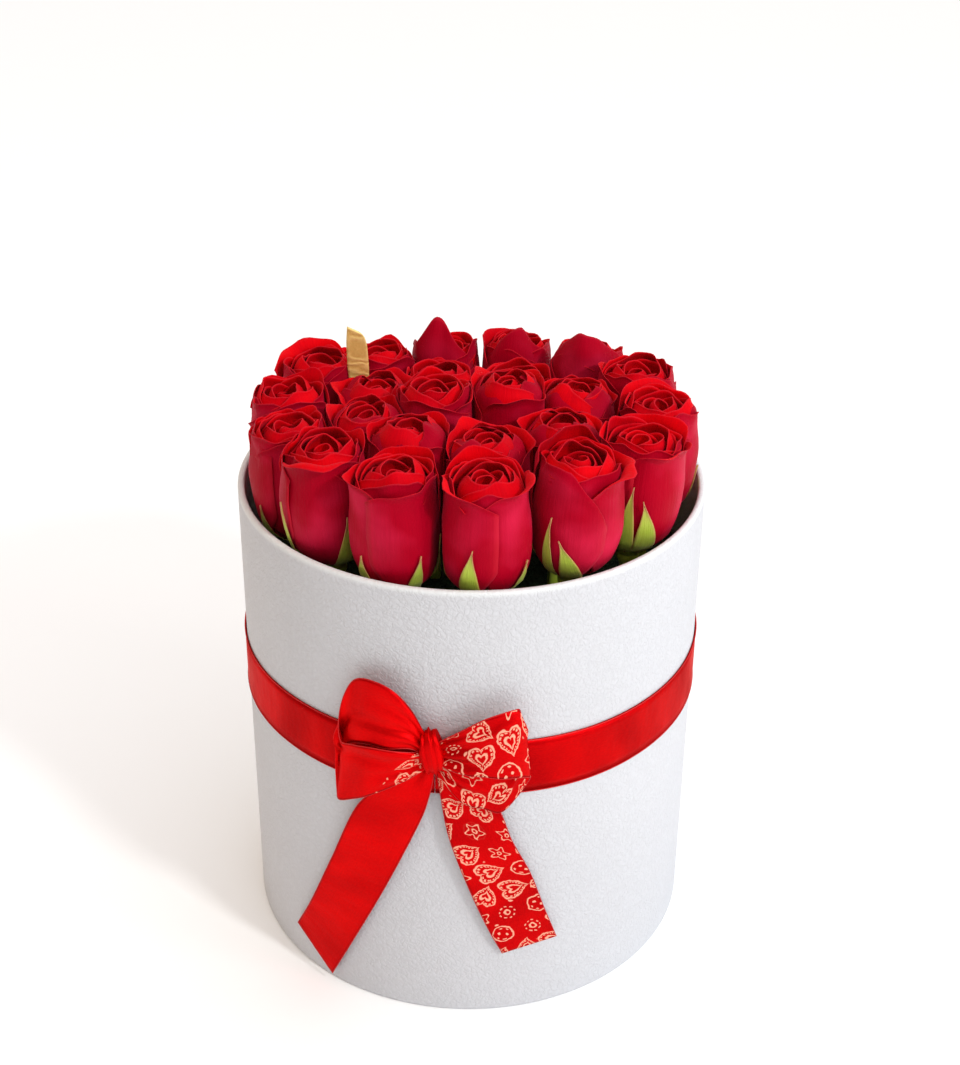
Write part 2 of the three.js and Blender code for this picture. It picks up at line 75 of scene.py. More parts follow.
ahead = Vector((sin(CAMERA_YAW) * cos(CAMERA_PITCH), cos(CAMERA_YAW) * cos(CAMERA_PITCH),
                -sin(CAMERA_PITCH)))
level = ahead.cross(Vector((0, 0, 1))).normalized()
upright = level.cross(ahead)
image_right = cos(CAMERA_ROLL) * level + sin(CAMERA_ROLL) * upright
image_up = cos(CAMERA_ROLL) * upright - sin(CAMERA_ROLL) * level
camera_data = bpy.data.cameras.new("camera")
camera_data.lens = CAMERA_LENS
camera_data.sensor_width = SENSOR_WIDTH
camera_data.clip_start = NEAREST_SEEN
camera = add_object("camera", camera_data)
turned = Matrix((image_right, image_up, -ahead)).transposed().to_4x4()
camera.matrix_world = Matrix.Translation(CAMERA_PLACE) @ turned
bpy.context.scene.camera = camera
bpy.context.scene.view_settings.view_transform = "Standard"


# The studio.
# A plain pale floor under a bright surround that is strongest overhead. The main light hangs at the upper
# right, in front, and throws the bow's shadows to its lower left. Two weak ones stand low at the sides.
def node_sum(operation, turned=False):
    """A method of Wire that adds one Math node, with its values in their order or turned round."""
    def add_node(self, *others):
        return self.nodes.sum(operation, *((*others, self) if turned else (self, *others)))
    return add_node


class Wire:
    """A socket of a node, on which sums can be written."""

    def __init__(self, nodes, socket):
        self.nodes = nodes
        self.socket = socket

    __add__ = __radd__ = node_sum("ADD")
    __mul__ = __rmul__ = node_sum("MULTIPLY")
    __sub__ = node_sum("SUBTRACT")
    __rsub__ = node_sum("SUBTRACT", turned=True)
    __truediv__ = node_sum("DIVIDE")
    __pow__ = node_sum("POWER")
    __rpow__ = node_sum("POWER", turned=True)
    __abs__ = node_sum("ABSOLUTE")
    smaller = node_sum("MINIMUM")
    larger = node_sum("MAXIMUM")

    def of(self, operation, *others):
        return self.nodes.sum(operation, self, *others)

    def below(self, edge, softness):
        """1 where the value is under the edge and 0 where it is over it, with a soft step."""
        settings = {"interpolation_type": "SMOOTHSTEP"}
        sockets = {0: self, 1: edge - softness, 2: edge + softness, 3: 1.0, 4: 0.0}
        return self.nodes.add("ShaderNodeMapRange", settings, sockets)


class Nodes:
    """A node tree, to which nodes are added with their settings and sockets."""

    def __init__(self, tree):
        self.tree = tree

    def add(self, kind, settings=None, sockets=None, output=0):
        node = self.tree.nodes.new(kind)
        for name, value in (settings or {}).items():
            setattr(node, name, value)
        for socket, value in (sockets or {}).items():
            self.feed(node.inputs[socket], value)
        return Wire(self, node.outputs[output])

    def sum(self, operation, *values):
        return self.add("ShaderNodeMath", {"operation": operation}, dict(enumerate(values)))

    def feed(self, socket, value):
        if isinstance(value, Wire):
            self.tree.links.new(value.socket, socket)
        elif socket.type == "RGBA" and len(value) == 3:
            socket.default_value = (*value, 1.0)
        else:
            socket.default_value = value

    def split(self, vector):
        return [self.add("ShaderNodeSeparateXYZ", None, {0: vector}, output=axis) for axis in range(3)]

    def join(self, *axes):
        return self.add("ShaderNodeCombineXYZ", None, dict(enumerate(axes)))

    def blend(self, share, first, second):
        """The first colour where the share is 0 and the second where it is 1."""
        colours = {"Factor": share, 6: first, 7: second}
        return self.add("ShaderNodeMix", {"data_type": "RGBA"}, colours, output=2)


class Finish(Nodes):
    """A material made of nodes, with one main shader."""

    def __init__(self, name, **constants):
        self.material = bpy.data.materials.new(name)
        self.material.use_nodes = True
        super().__init__(self.material.node_tree)
        self.shader = next(n for n in self.tree.nodes if n.type == "BSDF_PRINCIPLED")
        self.set(**constants)

    def set(self, **inputs):
        """Values or wires for the main shader's sockets, by names such as specular_ior_level."""
        for socket, value in inputs.items():
            self.feed(self.shader.inputs[socket.replace("_", " ").title().replace("Ior", "IOR")], value)

    def object_place(self):
        return self.add("ShaderNodeTexCoord", output="Object")

    def surface_place(self):
        return self.add("ShaderNodeUVMap", {"uv_map": "surface"})

    def noise(self, place, scale, detail=2.0, roughness=0.5, output=0):
        sockets = {"Vector": place, "Scale": scale, "Detail": detail, "Roughness": roughness}
        return self.add("ShaderNodeTexNoise", None, sockets, output)

    def shaken(self, place, scale, reach, detail=2.0):
        """The place, moved about by noise."""
        return self.add("ShaderNodeVectorMath", {"operation": "MULTIPLY_ADD"},
                        {0: self.noise(place, scale, detail, output="Color"), 1: reach, 2: place})

    def stretch(self, place, scale):
        return self.add("ShaderNodeMapping", None, {"Vector": place, "Scale": scale})

    def streaks(self, flat, first_scale, second_scale, detail, roughness=0.5):
        """Noise on a flat map, with its own scale each way."""
        return self.noise(self.stretch(flat, (first_scale, second_scale, 1.0)), 1.0, detail, roughness)

    def bump(self, height, depth, strength=1.0):
        return self.add("ShaderNodeBump", None, {"Height": height, "Distance": depth, "Strength": strength})


def turn_out(mesh):
    """Makes the faces of a closed mesh point outwards, and smooths them."""
    shell = bmesh.new()
    shell.from_mesh(mesh)
    bmesh.ops.recalc_face_normals(shell, faces=shell.faces)
    shell.to_mesh(mesh)
    shell.free()
    mesh.shade_smooth()


def make_piece(name, corners, faces, finish, uv=None, tones=None):
    """A mesh object at the origin. uv and tones are one value for each corner."""
    mesh = bpy.data.meshes.new(name)
    mesh.from_pydata(np.asarray(corners, float).tolist(), [], faces)
    if uv is not None:
        loops = np.zeros(len(mesh.loops), int)
        mesh.loops.foreach_get("vertex_index", loops)
        mesh.uv_layers.new(name="surface").data.foreach_set("uv", np.asarray(uv, float)[loops].ravel())
    if tones is not None:
        layer = mesh.attributes.new("tones", "FLOAT_COLOR", "POINT")
        layer.data.foreach_set("color", np.asarray(tones, float).ravel())
    turn_out(mesh)
    mesh.materials.append(finish.material)
    return add_object(name, mesh)


FLOOR_HALF = 4.0
FLOOR_WHITE = (0.94, 0.96, 0.975)
FLOOR_GREY = (0.8, 0.8, 0.8)
SKY_OVERHEAD = (1.32, 1.35, 1.40)
SKY_HIGH_LEFT = (1.02, 0.82, 0.65)
SKY_FRONT = (0.62, 0.62, 0.635)
SKY_LEFT = (0.20, 0.15, 0.11)
LIT_PLACE = (0, 0, 0.15)
# Each soft light: its place and size in metres, its power in watts and its colour.
SOFT_LIGHTS = {
    "key_light": ((0.80, -0.85, 1.05), 0.14, 8.5, (1.0, 0.99, 0.97)),
    "right_light": ((1.05, -0.50, 0.35), 0.25, 2.2, (1.0, 0.97, 0.93)),
    "left_light": ((-1.1, 0.4, 0.35), 0.3, 0.8, (1.0, 0.70, 0.45)),
}

ground = Finish("studio_floor", roughness=0.9)
place = ground.object_place()
ground.set(base_color=ground.blend(ground.noise(place, 40.0) * 0.04, FLOOR_WHITE, FLOOR_GREY))
floor_corners = [(x * FLOOR_HALF, y * FLOOR_HALF, 0.0) for x, y in ((-1, -1), (1, -1), (1, 1), (-1, 1))]
floor = make_piece("studio_floor", floor_corners, [(0, 1, 2, 3)], ground)
floor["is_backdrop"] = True

surround = bpy.data.worlds.new("surround")
surround.use_nodes = True
sky = Nodes(surround.node_tree)
sideways, _, height = sky.split(sky.add("ShaderNodeTexCoord", output="Generated"))
level_sky = sky.blend(sideways.below(-0.25, 0.45), SKY_FRONT, SKY_LEFT)
high_sky = sky.blend(sideways.below(-0.15, 0.5), SKY_OVERHEAD, SKY_HIGH_LEFT)
whole_sky = sky.blend(height.below(0.4, 0.4), high_sky, level_sky)
sky.feed(surround.node_tree.nodes["Background"].inputs["Color"], whole_sky)
bpy.context.scene.world = surround

for name, (place, size, power, colour) in SOFT_LIGHTS.items():
    lamp = bpy.data.lights.new(name, "AREA")
    lamp.size, lamp.energy, lamp.color = size, power, colour
    turn = (Vector(LIT_PLACE) - Vector(place)).to_track_quat("-Z", "Y")
    add_object(name, lamp).matrix_world = Matrix.Translation(place) @ turn.to_matrix().to_4x4()


# The box.
# A rolled cardboard tube, covered outside with white paper that is embossed like fine leather. The paper is
# turned over the rim and down inside, and meets itself in a straight seam down the back.
BOX_RADIUS = 0.096
BOX_HEIGHT = 0.207
WALL_THICKNESS = 0.0028
EDGE_ROUNDING = 0.0012
BOX_SIDES = 256
PAPER_WHITE = (0.59, 0.60, 0.63)
PAPER_SHADE = (0.475, 0.48, 0.505)
RIM_PAINTED_HIGHLIGHT = (0.70, 0.72, 0.73)
BOARD_GREY = (0.55, 0.53, 0.50)
RIM_HIGHLIGHT_BAND = 0.0016
SEAM_HALF_WIDTH = 0.0045
EMBOSSING = 0.00022


class Former(Nodes):
    """A Geometry Nodes tree that forms pieces, with a named input for each of their sizes."""

    def __init__(self, name, **sizes):
        super().__init__(bpy.data.node_groups.new(name, "GeometryNodeTree"))
        self.new_socket("Geometry", "OUTPUT", "NodeSocketGeometry")
        self.new_socket("Geometry", "INPUT", "NodeSocketGeometry")
        kinds = {int: "NodeSocketInt", float: "NodeSocketFloat", tuple: "NodeSocketVector"}
        self.usual = sizes
        self.identifiers = {
            size: self.new_socket(size, "INPUT", kinds[type(value)]) for size, value in sizes.items()}
        self.inputs = self.tree.nodes.new("NodeGroupInput")

    def new_socket(self, name, way, kind):
        return self.tree.interface.new_socket(name, in_out=way, socket_type=kind).identifier

    def __getitem__(self, name):
        return Wire(self, self.inputs.outputs[name])

    def circle(self, sides, radius):
        return self.add("GeometryNodeCurvePrimitiveCircle", {"mode": "RADIUS"},
                        {"Resolution": sides, "Radius": radius})

    def rectangle(self, width, height):
        return self.add("GeometryNodeCurvePrimitiveQuadrilateral", {"mode": "RECTANGLE"},
                        {"Width": width, "Height": height})

    def sweep(self, path, section, capped=True, thickness=1.0):
        return self.add("GeometryNodeCurveToMesh", None, {
            "Curve": path, "Profile Curve": section, "Fill Caps": capped, "Scale": thickness})

    def close(self, geometry, finish):
        """Ends the tree: everything is made real and gets its material."""
        real = self.add("GeometryNodeRealizeInstances", None, {"Geometry": geometry})
        covered = self.add("GeometryNodeSetMaterial", None, {"Geometry": real, "Material": finish.material})
        self.feed(self.tree.nodes.new("NodeGroupOutput").inputs["Geometry"], covered)

    def form(self, name, start=None, **sizes):
        """A plain mesh object, made by the tree from a start mesh, or from nothing."""
        holder = add_object(name + "_start", start or bpy.data.meshes.new(name + "_start"))
        former = holder.modifiers.new(name, "NODES")
        former.node_group = self.tree
        for size, identifier in self.identifiers.items():
            former[identifier] = sizes.get(size, self.usual[size])
        made = holder.evaluated_get(bpy.context.evaluated_depsgraph_get())
        mesh = bpy.data.meshes.new_from_object(made)
        bpy.data.objects.remove(holder)
        mesh.name = name
        turn_out(mesh)
        return add_object(name, mesh)


paper = Finish("embossed_paper", specular_ior_level=0.3)
place = paper.object_place()
x, y, z = paper.split(place)
bent = paper.shaken(place, 260.0, (0.0022, 0.0022, 0.0022))
pebbles = paper.add("ShaderNodeTexVoronoi", {"feature": "DISTANCE_TO_EDGE"}, {"Vector": bent, "Scale": 480.0})
raised = (pebbles * 4.0).smaller(1.0)
worms = (abs(paper.noise(bent, 330.0, 2.0) - 0.5) * 9.0).smaller(1.0)
fine = paper.noise(place, 1700.0, 3.0)
seam = abs(x.of("ARCTAN2", y) * BOX_RADIUS).below(SEAM_HALF_WIDTH, 0.00015)
cloudy = paper.noise(place, 14.0, 3.0)
# The hollows of the embossing, between the pebbles and along the worm lines, are painted darker: painted shade,
# mixed with a cloudy tone.
mottling_and_painted_shade = paper.blend((1.0 - raised) * 0.22 + (1.0 - worms) * 0.18 + cloudy * 0.45, PAPER_WHITE, PAPER_SHADE)
paper.set(
    # The top of the rim is painted whiter: a painted highlight along the rim.
    base_color=paper.blend(z.below(BOX_HEIGHT - RIM_HIGHLIGHT_BAND, 0.0012), RIM_PAINTED_HIGHLIGHT, mottling_and_painted_shade),
    roughness=0.45 + 0.2 * raised,
    normal=paper.bump(raised * 0.6 + worms * 0.8 + fine * 0.3 + seam * 1.6, EMBOSSING, 0.55),
)

tube = Former("paper_covered_wall", Radius=BOX_RADIUS - WALL_THICKNESS / 2, Thickness=WALL_THICKNESS,
              Height=BOX_HEIGHT, Rounding=EDGE_ROUNDING, Sides=BOX_SIDES)
section = tube.add("GeometryNodeFilletCurve", {"mode": "POLY"}, {
    "Curve": tube.rectangle(tube["Thickness"], tube["Height"]), "Count": 5, "Radius": tube["Rounding"]})
rolled = tube.sweep(tube.circle(tube["Sides"], tube["Radius"]), section, capped=False)
lift = tube.join(0.0, 0.0, tube["Height"] / 2.0)
tube.close(tube.add("GeometryNodeTransform", None, {"Geometry": rolled, "Translation": lift}), paper)
wall = tube.form("box_wall_cover")
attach(wall, "root")
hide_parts("box_wall")

board = Finish("base_board", roughness=0.8)
place = board.object_place()
board.set(
    base_color=board.blend(board.noise(place, 900.0, 4.0), BOARD_GREY, PAPER_SHADE),
    normal=board.bump(board.noise(place, 1500.0, 3.0), 0.0001),
)


def dress(node, finish):
    """Gives a solid that stays as it is its material."""
    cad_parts[node].data.materials.clear()
    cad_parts[node].data.materials.append(finish.material)


dress("box_base", board)


# The lining and the foam.
# A cup of thin waterproof film, crinkled against the wall, holds a block of dark green floral foam soaked in
# water. Its face is open and crumbly, and the stems are pushed into it.
FILM_COLOUR = (0.10, 0.12, 0.09)
FOAM_GREEN = (0.035, 0.085, 0.03)
FOAM_DARK = (0.012, 0.03, 0.012)

film = Finish("lining_film")
place = film.object_place()
crinkles = film.noise(film.stretch(place, (1.0, 1.0, 0.35)), 160.0, 4.0)
film.set(
    base_color=film.blend(crinkles, FILM_COLOUR, FOAM_GREEN),
    roughness=0.2 + crinkles * 0.3,
    normal=film.bump(crinkles, 0.0006),
)
soaked = Finish("soaked_foam")
place = soaked.object_place()
pores = soaked.add("ShaderNodeTexVoronoi", None, {"Vector": place, "Scale": 900.0})
lumps = soaked.noise(place, 260.0, 5.0)
soaked.set(
    base_color=soaked.blend(pores * 0.6 + lumps * 0.5, FOAM_GREEN, FOAM_DARK),
    roughness=0.6 + 0.35 * lumps,
    normal=soaked.bump(pores + lumps * 2.0, 0.0005),
)
dress("liner", film)
dress("foam", soaked)


# The ribbon round the box.
# A 25 mm satin ribbon, woven from fine shiny threads that run along it, with a corded edge on each side. It
# is pulled once round the box, and its ends meet under the knot of the bow.
RIBBON_WIDTH = 0.025
BAND_BOTTOM = 0.1145
BAND_RADIUS = 0.0963
BAND_THICKNESS = 0.00045
BAND_SIDES = 240
BAND_START = radians(-98.0)
BAND_MEETING = 0.003
SELVEDGE = 0.0007
EDGE_CORD = 0.00024
MOTIF_ROW = 0.0112
MOTIF_COLUMN = 0.0125
HAND_SHAKE = 0.0016
THIN_LINE, THICK_LINE, LINE_SOFTNESS = 0.05, 0.07, 0.03
SATIN_RED = (0.74, 0.002, 0.003)
SATIN_DEEP = (0.30, 0.0, 0.002)
SATIN_SHINE = 0.7
PRINT_CREAM = (0.93, 0.50, 0.34)
LOOP_TURNS_AT = 0.108


def satin_finish(name, printed, painted_shade, print_from=0.0):
    """Red satin, with the print from a place on. Its UV map is in metres, along the ribbon and across it."""
    satin = Finish(name, specular_ior_level=0.15, specular_tint=(1.0, 0.2, 0.12), anisotropic=0.6)
    flat = satin.surface_place()
    along, across, _ = satin.split(flat)
    threads = satin.streaks(flat, 60.0, 5200.0, 2.0)
    weft = satin.streaks(flat, 4200.0, 300.0, 1.0)
    clouds = satin.noise(flat, 120.0, 3.0)
    grain = satin.streaks(flat, 620.0, 1500.0, 2.0)
    rumples = satin.streaks(flat, 150.0, 60.0, 2.0)
    edge = 1.0 - abs(across - RIBBON_WIDTH / 2).below(RIBBON_WIDTH / 2 - SELVEDGE, 0.0001)
    # Sheen patches are painted into the colour as darker streaks, and the shift given to each copy darkens the
    # whole satin, or lightens it below zero: painted sheen and painted shade.
    sheen = (satin.streaks(flat, 42.0, 26.0, 1.5) * 3.6 - 1.3).larger(0.0).smaller(1.0)
    mottling_and_painted_shade = sheen * 0.36 + threads * 0.2 + clouds * 0.2 + grain * 0.5 + painted_shade
    colour = satin.blend(edge * 0.5, satin.blend(mottling_and_painted_shade, SATIN_RED, SATIN_DEEP), SATIN_DEEP)
    gloss = 0.26 + threads * 0.08 + clouds * 0.08 + sheen * 0.14
    shine = SATIN_SHINE
    relief = threads * 0.35 + weft * 0.25 + rumples * 6.0
    if printed:
        drawn = doodles(satin, flat) * (1.0 - (along + across * 0.6).below(print_from, 0.0004))
        colour = satin.blend(drawn * 0.75, colour, PRINT_CREAM)
        gloss = gloss + drawn * 0.25
        relief = relief + drawn * 0.6
        shine = shine - drawn * 0.65
    satin.set(base_color=colour, metallic=shine, roughness=gloss, normal=satin.bump(relief, 0.00008, 0.8))
    return satin


def doodles(satin, flat):
    """Hand-drawn hearts, balls, flowers and rings in loose rows: 1 where the print is and 0 elsewhere."""
    along, across, _ = satin.split(satin.shaken(flat, 420.0, (HAND_SHAKE, HAND_SHAKE, 0.0), detail=1.0))
    row = (along / MOTIF_ROW).of("FLOOR")
    lane = across / MOTIF_COLUMN + 0.5 * row.of("PINGPONG", 1.0) + 0.07
    column = lane.of("FLOOR")
    cell = {"Vector": satin.join(row, column, 5.0)}
    chance = satin.add("ShaderNodeTexWhiteNoise", None, cell, output="Value")
    turn, right, ahead = satin.split(satin.add("ShaderNodeTexWhiteNoise", None, cell, output="Color"))
    turn = (turn - 0.5) * 3.0
    scale = 1.9 + chance * 0.6
    right = (lane - column - 0.5) * scale + (right - 0.5) * 0.3
    onwards = (along / MOTIF_ROW - row - 0.5) * scale * (MOTIF_ROW / MOTIF_COLUMN) + (ahead - 0.5) * 0.2
    cosine, sine = turn.of("COSINE"), turn.of("SINE")
    across_motif = right * cosine - onwards * sine
    up_motif = right * sine + onwards * cosine
    distance = (across_motif * across_motif + up_motif * up_motif).of("SQRT")
    direction = up_motif.of("ARCTAN2", across_motif)
    heart_rise = up_motif - 0.62 * abs(across_motif).of("SQRT") + 0.18
    heart = (across_motif * across_motif + heart_rise * heart_rise).of("SQRT")
    beads = (direction * 18.0).of("SINE").below(0.1, 0.3)
    dashes = (direction * 9.0).of("SINE").below(0.0, 0.3)
    dots = 1.0 - ((across_motif * 8.0).of("SINE") * (up_motif * 8.0).of("SINE")).below(0.6, 0.15)
    petals = distance * (1.0 + 0.28 * (direction * 5.0).of("COSINE"))

    def line(off_line, half_width=THIN_LINE):
        return abs(off_line).below(half_width, LINE_SOFTNESS)

    heart_lines = line(heart - 0.74).larger(line(heart - 0.6) * beads).larger(line(heart - 0.3, THICK_LINE))
    ball_lines = line(distance - 0.78).larger(dots * distance.below(0.62, LINE_SOFTNESS))
    flower_lines = line(petals - 0.52).larger(line(distance - 0.16))
    rings = line(distance - 0.24, THICK_LINE).larger(line(distance - 0.62) * dashes)
    is_heart = chance.below(0.40, 0.001)
    is_ball = chance.below(0.62, 0.001) - is_heart
    is_flower = chance.below(0.82, 0.001) - is_heart - is_ball
    is_ring = 1.0 - (is_heart + is_ball + is_flower)
    dotted = satin.add("ShaderNodeTexVoronoi", None, {"Vector": flat, "Scale": 150.0, "Randomness": 0.8})
    loose_dots = dotted.below(0.16, 0.03) * (1.0 - distance.below(1.02, 0.03))
    return (is_heart * heart_lines + is_ball * ball_lines + is_flower * flower_lines
            + is_ring * rings + loose_dots).smaller(1.0)


# Lit and shaded copies of one satin: the band gets the most painted shade and the left loop the least, so that it
# looks lit.
band_satin = satin_finish("band_satin", printed=False, painted_shade=-0.05)
plain_satin = satin_finish("plain_satin", printed=False, painted_shade=-0.35)
printed_satin = satin_finish("printed_satin", printed=True, painted_shade=-0.15)
turned_satin = satin_finish("turned_satin", printed=True, painted_shade=-0.40, print_from=LOOP_TURNS_AT)
edge_satin = Finish("edge_satin", metallic=0.3)
place = edge_satin.object_place()
twist = edge_satin.noise(place, 1800.0, 2.0)
edge_satin.set(
    base_color=edge_satin.blend(twist, SATIN_RED, SATIN_DEEP),
    roughness=0.4 + twist * 0.2,
    normal=edge_satin.bump(twist, 0.0001),
)

strap = Former("ribbon_round_the_box", Radius=BAND_RADIUS + BAND_THICKNESS / 2, Thickness=BAND_THICKNESS,
               Width=RIBBON_WIDTH, Bottom=BAND_BOTTOM, Start=BAND_START, Meeting=BAND_MEETING,
               Sides=BAND_SIDES)
round_box = strap.add("GeometryNodeCurveArc", {"mode": "RADIUS"}, {
    "Resolution": strap["Sides"], "Radius": strap["Radius"],
    "Start Angle": strap["Start"], "Sweep Angle": tau - strap["Meeting"]})
section = strap.add("GeometryNodeSubdivideCurve", None, {
    "Curve": strap.rectangle(strap["Thickness"], strap["Width"]), "Cuts": 5})
x, y, z = strap.split(strap.add("GeometryNodeInputPosition"))
turned = y.of("ARCTAN2", x)
along = (turned - strap["Start"]).of("WRAP", tau, 0.0) * strap["Radius"]
mapped = strap.add("GeometryNodeStoreNamedAttribute", {"data_type": "FLOAT2", "domain": "CORNER"}, {
    "Geometry": strap.sweep(round_box, section), "Name": "surface",
    "Value": strap.join(along, z + strap["Width"] / 2.0)})
unevenness = (turned * 3.0 + 1.0).of("SINE") * 0.0003 + (turned * 7.0).of("SINE") * 0.0002
lift = strap.join(0.0, 0.0, unevenness + strap["Bottom"] + strap["Width"] / 2.0)
strap.close(strap.add("GeometryNodeSetPosition", None, {"Geometry": mapped, "Offset": lift}), band_satin)
band = strap.form("ribbon_band_satin")

edging = Former("woven_edge", Radius=EDGE_CORD, Sides=6)
path = edging.add("GeometryNodeMeshToCurve", None, {"Mesh": edging["Geometry"]})
edging.close(edging.sweep(path, edging.circle(edging["Sides"], edging["Radius"])), edge_satin)


def woven_edges(name, paths):
    """The two corded edges of a ribbon, along its paths."""
    lines = bpy.data.meshes.new(name + "_lines")
    corners, steps = [], []
    for path in paths:
        steps += [(len(corners) + i, len(corners) + i + 1) for i in range(len(path) - 1)]
        corners += np.asarray(path, float).tolist()
    lines.from_pydata(corners, steps, [])
    edges = edging.form(name, lines)
    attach(edges, "root")
    return edges


angles = BAND_START + np.linspace(0, tau - BAND_MEETING, BAND_SIDES)
edge_radius = BAND_RADIUS + BAND_THICKNESS
edge_rise = BAND_BOTTOM + 0.0003 * np.sin(3 * angles + 1) + 0.0002 * np.sin(7 * angles)
band_edges = woven_edges("ribbon_band_edges", [
    np.stack([edge_radius * np.cos(angles), edge_radius * np.sin(angles), edge_rise + height], axis=-1)
    for height in (EDGE_CORD, RIBBON_WIDTH - EDGE_CORD)])
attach(band, "root")
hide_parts("ribbon_band")


# The bow.
# It is tied from the same kind of ribbon, printed on one side: two loops and two tails that come out of a
# pleated knot over the band. The left loop and tail show the plain side, the right ones the printed side.
BOW_THICKNESS = 0.0004
BOW_COLUMNS = 21
BOW_ROWS_A_SPAN = 12
TINY = 1e-12
LOOP_GATHERED, TAIL_GATHERED = 0.17, 0.12
GATHER_DEPTH = 0.9
CREASE_DEPTH = 1.2
CROWN_HEIGHT = 0.9

# Each length of ribbon, by both its edges at a few places: across, off the band and height, in millimetres.
LEFT_LOOP = (
    (-15, 3.5, 141, -15, 4.5, 135), (-21.5, 6.5, 156.5, -22.5, 8.5, 141), (-28.8, 8, 166, -32, 10.5, 141),
    (-37.1, 7, 168.5, -41, 9, 140), (-44, 5.2, 165.6, -48.5, 6.2, 134), (-48.6, 4.8, 156, -52.3, 5.2, 120),
    (-50.8, 5.6, 145, -52.6, 6, 110), (-50.2, 8, 137.2, -51.6, 7.6, 107.6),
    (-45.4, 10, 138.6, -46.2, 8.8, 111.2), (-38.3, 12, 141, -40, 9.8, 115.6),
    (-29.1, 11, 140.5, -31, 9.2, 121.5), (-21.7, 8.2, 139, -22.5, 7, 126), (-15, 5, 138, -15, 4.5, 131),
)
RIGHT_LOOP = (
    (-13, 3.5, 137, -13, 3, 129), (-4, 4.5, 138.5, -3.4, 4, 115), (6, 5, 138, 5.9, 4.5, 111.5),
    (13, 5, 137, 12.3, 4.5, 109.4), (17.2, 4.4, 139, 18.6, 4.4, 116.5), (19, 4.8, 150, 23.2, 4.8, 124.5),
    (18.8, 6.6, 158.6, 22.4, 6.8, 127), (16.4, 8.3, 160.2, 17.2, 9.4, 129.3),
    (11.5, 9.6, 159.8, 12, 10.8, 130.5), (4.7, 10, 157.5, 5.5, 11, 132), (-2.6, 9, 152.5, -3, 9.5, 132.5),
    (-13, 5.8, 143.5, -13, 5.5, 134),
)
LEFT_TAIL = (
    (-18, 3, 137, -13, 2.5, 131), (-31, 4.5, 121, -16, 5, 116), (-44.5, 3.4, 104, -20, 4.2, 102),
    (-56.5, 2.4, 70, -33, 2.9, 68), (-66.5, 2.4, 41, -46.5, 2.4, 35), (-74, 1.5, 20, -58.3, 1.5, 4.8),
)
RIGHT_TAIL = (
    (-14, 2, 133, -9, 1.8, 133), (-11.5, 2.6, 117, 9.5, 2.6, 113), (-8, 3.2, 96, 17, 2.8, 93),
    (-0.5, 2.6, 71, 24.5, 2.2, 75), (7.5, 2.6, 49, 31, 2, 54), (14, 1.6, 33.2, 36.2, 1.5, 37.6),
)


def off_band(points):
    """Places in front of the band, from across, off the band and height in millimetres, in metres."""
    points = np.asarray(points, float) * 0.001
    radius = BAND_RADIUS + BAND_THICKNESS + points[..., 1]
    across = points[..., 0]
    return np.stack([across, -np.sqrt(radius ** 2 - across ** 2), points[..., 2]], axis=-1)


def smooth_through(stations, rows_a_span):
    """A smooth curve through the stations, as many rows of the same shape."""
    stations = np.asarray(stations, float)
    padded = np.concatenate([2 * stations[:1] - stations[1:2], stations, 2 * stations[-1:] - stations[-2:-1]])
    rows = []
    for i in range(len(stations) - 1):
        a, b, c, d = padded[i:i + 4]
        for t in np.arange(rows_a_span) / rows_a_span:
            rows.append(0.5 * (2 * b + (c - a) * t + (2 * a - 5 * b + 4 * c - d) * t ** 2
                               + (3 * b - 3 * c + d - a) * t ** 3))
    rows.append(stations[-1])
    return np.array(rows)


def unit_normals(surface):
    """The unit normals of a grid of points."""
    normal = np.cross(np.gradient(surface, axis=0), np.gradient(surface, axis=1))
    return normal / (np.linalg.norm(normal, axis=-1, keepdims=True) + TINY)


def thin_sheet(surface, thickness, flat):
    """Corners, faces and UV of a closed thin sheet about a grid of points with UV places."""
    rows, columns = surface.shape[:2]
    offset = unit_normals(surface) * np.broadcast_to(thickness, (rows, columns))[..., None] / 2
    corners = np.concatenate([(surface + offset).reshape(-1, 3), (surface - offset).reshape(-1, 3)])
    count = rows * columns
    faces = []
    for i in range(rows - 1):
        for j in range(columns - 1):
            a, b = i * columns + j, (i + 1) * columns + j
            faces.append((a, a + 1, b + 1, b))
            faces.append((count + a, count + b, count + b + 1, count + a + 1))
    border = [(0, j) for j in range(columns)] + [(i, columns - 1) for i in range(1, rows)]
    border += [(rows - 1, j) for j in range(columns - 2, -1, -1)] + [(i, 0) for i in range(rows - 2, 0, -1)]
    ring = [i * columns + j for i, j in border]
    for a, b in zip(ring, ring[1:] + ring[:1]):
        faces.append((a, b, count + b, count + a))
    return corners, faces, np.concatenate([flat.reshape(-1, 2)] * 2)


def ribbon_length(stations, folds):
    """The surface of one length of ribbon, with its folds, in metres, and its length."""
    edges = smooth_through(off_band(np.reshape(stations, (-1, 2, 3))), BOW_ROWS_A_SPAN)
    share = np.linspace(0, 1, BOW_COLUMNS)[None, :, None]
    surface = edges[:, :1] * (1 - share) + edges[:, 1:] * share
    along = np.linspace(0, 1, len(surface))[:, None, None]
    surface = surface + unit_normals(surface) * folds(along, share) * 0.001
    step = np.linalg.norm(np.diff(surface.mean(axis=1), axis=0), axis=-1)
    distance = np.concatenate([[0], np.cumsum(step)])
    flat = np.stack(np.broadcast_arrays(distance[:, None], share[..., 0] * RIBBON_WIDTH), axis=-1)
    return surface, flat, distance[-1]


